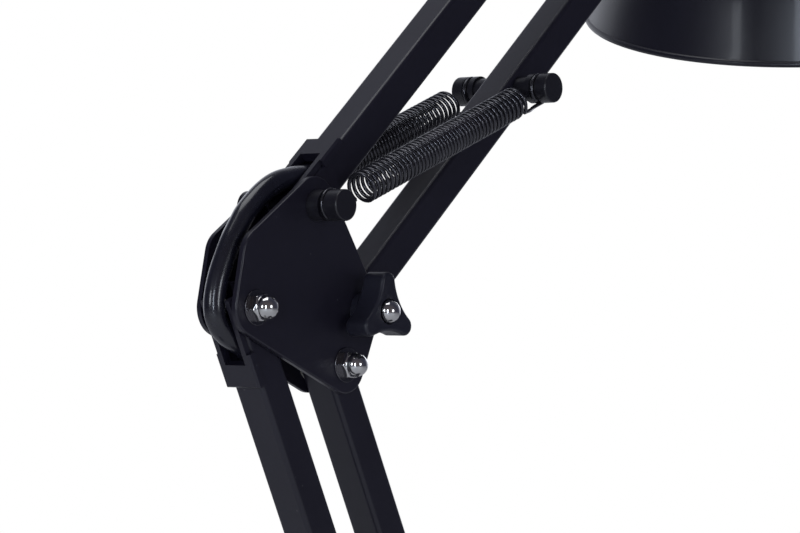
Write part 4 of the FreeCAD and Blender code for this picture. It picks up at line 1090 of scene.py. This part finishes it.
def knobMesh(name):
    segments, edge, high = 180, knobLook["edge"], knobLook["high"]
    levels = [(0.0, -0.0009), (0.0003, -0.0003), (0.0009, 0.0)]
    levels += [(high - edge, 0.0)]
    for i in range(1, 7):
        angle = math.radians(90) * i / 6
        levels.append((high - edge + edge * math.sin(angle), -edge * (1 - math.cos(angle))))
    points, faces = [], []
    outline = []
    for i in range(segments):
        turn = 2 * math.pi * i / segments
        outline.append(Vector((math.cos(turn), math.sin(turn), 0)) * knobRadius(turn))
    normals = []
    for i in range(segments):
        way = outline[(i + 1) % segments] - outline[i - 1]
        normals.append(Vector((way.y, -way.x, 0)).normalized())
    rows = []
    for height, inset in levels:
        rows.append([p + n * inset + Vector((0, 0, height)) for p, n in zip(outline, normals)])
    top = rows[-1]
    pocket, seat = knobLook["pocket"], knobLook["seat"]
    for share, drop in ((0.35, 0.00010), (0.7, 0.00016), (0.93, 0.00012), (1.0, 0.0003)):
        row = []
        for p in top:
            flat = Vector((p.x, p.y, 0))
            goal = flat.normalized() * pocket
            spot = flat.lerp(goal, share)
            row.append(Vector((spot.x, spot.y, high - drop)))
        rows.append(row)
    rows.append([Vector((p.x, p.y, high - seat)) for p in rows[-1]])
    rows.append([Vector((p.x * 0.4, p.y * 0.4, high - seat)) for p in rows[-1]])
    under = [Vector((p.x, p.y, 0)).normalized() * knobLook["boss"] for p in rows[0]]
    foot = [p + Vector((0, 0, -knobLook["bossHigh"])) for p in under]
    hub = [Vector((p.x * 0.4, p.y * 0.4, p.z)) for p in foot]
    rows = [hub, foot, under] + rows
    for row in rows:
        points += row
    for r in range(len(rows) - 1):
        for i in range(segments):
            j = (i + 1) % segments
            low, over = r * segments, (r + 1) * segments
            faces.append([low + i, low + j, over + j, over + i])
    faces.append(list(range(segments))[::-1])
    faces.append(list(range((len(rows) - 1) * segments, len(rows) * segments)))
    return meshFrom(name, points, faces)


def makeKnob(name, at, seat, way, side, body, node):
    # way points out of the knob's face; side points along the sheet's +X as seen from behind it
    mesh = knobMesh(name)
    mesh.transform(frameAt(at + way * (seat + knobLook["bossHigh"]), way, side))
    return hand(settle(link(name, mesh), 40), body, finish["knob"], [node])


def domeMesh(at, way, face):
    # the bright ball end in a knob's face
    dome = knobLook["dome"]
    outline = [(0, -0.0007), (dome, -0.0007)]
    outline += [(dome * math.cos(math.radians(i * 5.625)), dome * math.sin(math.radians(i * 5.625)))
                for i in range(16)]
    outline += [(0, dome)]
    mesh = meshFrom("dome", *ringed(outline, 64))
    mesh.transform(frameAt(at + way * face, way))
    return mesh


ringNutLook = {"bore": 0.00806, "radius": 0.0115, "low": 0.0192, "high": 0.0232}     # under the swivel


def makeFasteners():
    bore, outer, low, high = (ringNutLook[word] for word in ("bore", "radius", "low", "high"))
    ringNut = meshFrom("ringNut", *ringed(rounded([
        (bore, low, 0.0002), (outer, low, 0.0006), (outer, high, 0.0006), (bore, high, 0.0002),
        (bore, (low + high) / 2, 0)]), 64, True))
    fastenerSet("foot", "foot", [footRight], footScrews, "foot_nuts", [ringNut])
    boltSet("foot", "foot", [footRight], footScrews, "foot_bolts")
    washerSet("foot", "foot", [footRight], [footLeft, footRight], "foot_washers")
    fastenerSet("elbow", "elbow", [elbowLeft, elbowLow], [], "elbow_nuts")
    knobDeep = knobLook["bossHigh"] + knobLook["high"] - knobLook["sunk"]
    dome = domeMesh(elbowKnob, front, half["washer"] + knobDeep)
    boltSet("elbow", "elbow", [elbowLeft, elbowLow, elbowKnob], [], "elbow_bolts", [dome])
    washerSet("elbow", "elbow", [elbowLeft, elbowLow, elbowKnob],
              [elbowPin, elbowKnob, elbowLeft, elbowLow], "elbow_washers")
    fastenerSet("head", "head_bracket", [headLeft, headRight], [], "head_nuts")
    screws = [screwHead(headPivot + spot + way * half["plate"], way)
              for spot in headScrews for way in (front, rear)]
    boltSet("head", "head_bracket", [headLeft, headRight], [], "head_bolts", screws)
    washerSet("head", "head_bracket", [headLeft, headRight], [headLeft, headRight], "head_washers")
    makeKnob("elbowKnob", elbowKnob, half["washer"], front, (1, 0, 0), "elbow_knob", "elbow_knob")
    cheek = half["cheek"]
    makeKnob("headKnob", headPivot, cheek, -tiltAxis, (1, 0, 0), "head_knob", "head_knob")
    tail = repeated("headBolt", boltHead(), [frameAt(headPivot + tiltAxis * cheek, tiltAxis)],
                    finish["chrome"])
    shank = shankMesh(headPivot + tiltAxis * cheek, headPivot - tiltAxis * cheek)
    ball = domeMesh(headPivot, -tiltAxis, cheek + knobDeep)
    withMore(tail, [shank, ball], "knuckle", "head_tilt_bolt")


makeFasteners()
print("fasteners and knobs made")


# shade

# each place is (radius, distance from the tilt axis); a bulge is a way and its share of the chord
shadeShape = {"hole": 0.020, "seat": (0.030, 0.060), "shoulder": (0.060, 0.086), "rim": (0.090, 0.150),
              "wall": 0.001, "shoulderBulge": (0.55, -0.8, 0.17), "skirtBulge": (0.9, -0.43, 0.045),
              "bead": 0.0012, "sides": 160}


def arcPoints(a, b, bulge, steps):
    # the arc from a to b whose middle stands off its chord
    a, b = Vector(a), Vector(b)
    high = bulge[2] * (b - a).length
    side = Vector(bulge[:2]).normalized()
    middle = (a + b) / 2 + side * high
    one, two = (a + middle) / 2, (b + middle) / 2
    first, second = middle - a, middle - b
    share = ((two - one).dot(second)) / Vector((-first.y, first.x)).dot(second)
    centre = one + Vector((-first.y, first.x)) * share
    start = a - centre
    sweep = start.angle_signed(b - centre)
    out = []
    for n in range(steps + 1):
        turned = start.copy()
        turned.rotate(Matrix.Rotation(-sweep * n / steps, 2))
        out.append(centre + turned)
    return out


def makeShade():
    # spun from sheet: black outside, white inside, its rim curled over a bead
    seat, shoulder, rim = shadeShape["seat"], shadeShape["shoulder"], shadeShape["rim"]
    outer = [Vector((shadeShape["hole"], seat[1])), Vector((seat[0] - 0.003, seat[1]))]
    outer += arcPoints(seat, shoulder, shadeShape["shoulderBulge"], 22)
    outer += arcPoints(shoulder, rim, shadeShape["skirtBulge"], 34)[1:]
    inner = []
    for i, place in enumerate(outer):
        way = (outer[min(i + 1, len(outer) - 1)] - outer[max(i - 1, 0)]).normalized()
        inner.append(place + Vector((-way.y, way.x)) * shadeShape["wall"])
    last = (outer[-1] - outer[-2]).normalized()
    out = Vector((last.y, -last.x))
    bead = shadeShape["bead"]
    middle = (outer[-1] + inner[-1]) / 2 - last * bead + out * 0.0002
    curl = [middle + (out * math.cos(a) + last * math.sin(a)) * bead
            for a in (math.radians(-70 + 16 * i) for i in range(17))]
    profile = outer[:-2] + curl + inner[::-1][2:]
    marks = [0.0] * (len(outer) - 2 + 13) + [1.0] * (4 + len(inner) - 2)
    sides = shadeShape["sides"]
    mesh = meshFrom("shade", *ringed([tuple(p) for p in profile], sides, True))
    inside = mesh.attributes.new("inside", "FLOAT", "POINT")
    for i, item in enumerate(inside.data):
        item.value = marks[i // sides]
    mesh.transform(frameAt(headPivot, mouthWay))
    hand(settle(link("shade", mesh), 50), "head", finish["shade"], ["shade"])


makeShade()
print("shade made")


# frame nodes that keep their shape

keeps = {
    "paint": ["base_cover", "foot_turntable", "foot_block", "foot_plate_front", "foot_plate_rear",
              "lower_left_bar", "lower_lead_guides", "lower_right_bar", "elbow_plate_front",
              "elbow_plate_rear", "upper_left_bar", "upper_lead_guides", "upper_right_bar",
              "head_plate_front", "head_plate_rear", "head_block", "head_knuckle", "head_lug", "socket_cap"],
    "steel": ["foot_spring_pin", "elbow_spring_pin", "lower_spring_bar", "upper_spring_bar", "base_screws"],
    "holder": ["lamp_holder", "shade_ring"],
    "bush": ["swivel_bush"],
    "button": ["switch_button"],
    "sheath": ["lead_in_base", "lead_in_foot", "lead_in_lower_bar", "lead_in_upper_bar"],
    "felt": ["base_pad"],
    "cast": ["base_weight"],
    "lampCap": ["bulb_cap"],
    "opal": ["bulb_glass"],
}
for word, names in keeps.items():
    for name in names:
        node = frame["nodes"][name]
        node.data.materials.clear()
        node.data.materials.append(finish[word])


# room and light

roomLook = {"floor": (0.80, 0.80, 0.80), "patch": (0.77, 0.77, 0.775), "radius": 3.2, "glow": 0.34}


def makeRoom():
    floor = link("floor", meshFrom("floor", *ringed([(0, 0), (roomLook["radius"], 0)], 96)))
    floor.location.z = -0.0002
    look = Finish("paleFloor", Roughness=0.6)
    cloud = look.noise(1.3, 3)
    look.set(Base_Color=look.blend(cloud, roomLook["floor"], roomLook["patch"]), Roughness=0.55 + cloud * 0.1)
    look.bump(look.noise(220, 3), 0.0002, 0.2)
    # paler to the eye than the light that it throws back on the lamp
    seen = look.node("ShaderNodeLightPath", {}, {}, "Is Camera Ray")
    glow = look.node("ShaderNodeEmission", {}, {"Color": (1, 1, 1), "Strength": seen * roomLook["glow"]})
    both = look.node("ShaderNodeAddShader", {}, [Socket(look, look.shader.outputs[0]), glow])
    look.tree.links.new(both.output, look.tree.nodes["Material Output"].inputs["Surface"])
    floor.data.materials.append(look.material)


# how bright the room is, from before the lamp (0) to behind it (1)
skyLook = {"stops": ((0.0, (0.10, 0.088, 0.095)), (0.45, (0.040, 0.042, 0.062)),
                     (0.72, (0.060, 0.063, 0.090)), (0.94, (0.62, 0.64, 0.72)))}


def makeSky():
    # white where the camera looks; for the light, a bright wall behind the lamp and a dim room before it
    world = bpy.data.worlds.new("studio")
    bpy.context.scene.world = world
    world.use_nodes = True
    tree = world.node_tree
    tree.nodes.clear()
    place = tree.nodes.new("ShaderNodeTexCoord")
    toWall = tree.nodes.new("ShaderNodeVectorMath")
    toWall.operation = "DOT_PRODUCT"
    toWall.inputs[1].default_value = -backWay
    ramp = tree.nodes.new("ShaderNodeValToRGB")
    stops = skyLook["stops"]
    ramp.color_ramp.elements[0].position, ramp.color_ramp.elements[0].color = stops[0][0], (*stops[0][1], 1)
    ramp.color_ramp.elements[1].position, ramp.color_ramp.elements[1].color = stops[3][0], (*stops[3][1], 1)
    for where, colour in stops[1:3]:
        ramp.color_ramp.elements.new(where).color = (*colour, 1)
    scale = tree.nodes.new("ShaderNodeMath")
    scale.operation = "MULTIPLY_ADD"
    scale.inputs[1].default_value = 0.5
    scale.inputs[2].default_value = 0.5
    studio = tree.nodes.new("ShaderNodeBackground")
    white = tree.nodes.new("ShaderNodeBackground")
    white.inputs["Color"].default_value = (1, 1, 1, 1)
    seen = tree.nodes.new("ShaderNodeLightPath")
    mix = tree.nodes.new("ShaderNodeMixShader")
    out = tree.nodes.new("ShaderNodeOutputWorld")
    links = tree.links
    links.new(place.outputs["Generated"], toWall.inputs[0])
    links.new(toWall.outputs["Value"], scale.inputs[0])
    links.new(scale.outputs[0], ramp.inputs["Fac"])
    links.new(ramp.outputs["Color"], studio.inputs["Color"])
    links.new(seen.outputs["Is Camera Ray"], mix.inputs["Fac"])
    links.new(studio.outputs[0], mix.inputs[1])
    links.new(white.outputs[0], mix.inputs[2])
    links.new(mix.outputs[0], out.inputs["Surface"])


lampList = {
    # name: (degrees to the right of the camera, degrees up, distance, width, height, power, colour)
    "keyLeft": (-44, 8, 1.5, 0.26, 0.5, 3.0, (0.86, 0.92, 1.0)),
    "keyRight": (44, 6, 1.5, 0.32, 0.5, 2.8, (0.88, 0.93, 1.0)),
    "near": (-10, 4, 1.6, 0.12, 0.8, 4.6, (0.78, 0.87, 1.0)),
    "wallLeft": (-150, 14, 1.6, 0.8, 1.2, 1.0, (0.9, 0.94, 1.0)),
    "wallRight": (158, 20, 1.7, 0.7, 1.2, 3.0, (0.9, 0.94, 1.0)),
    "top": (-100, 78, 1.9, 1.2, 1.2, 9.0, (0.95, 0.97, 1.0)),
}


def makeLamps():
    for name, (side, lift, away, wide, tall, power, colour) in lampList.items():
        data = bpy.data.lights.new(name, "AREA")
        data.shape = "RECTANGLE"
        data.size, data.size_y = wide, tall
        data.energy = power
        data.color = colour
        lamp = bpy.data.objects.new(name, data)
        side, lift = math.radians(side), math.radians(lift)
        level = backWay * math.cos(side) + rightWay * math.sin(side)
        place = elbowPin + (level * math.cos(lift) + upWay * math.sin(lift)) * away
        lamp.matrix_world = frameAt(place, place - elbowPin, rightWay)
        bpy.context.scene.collection.objects.link(lamp)


makeRoom()
makeSky()
makeLamps()
bpy.context.scene.view_settings.view_transform = "Standard"
print("room and light made")
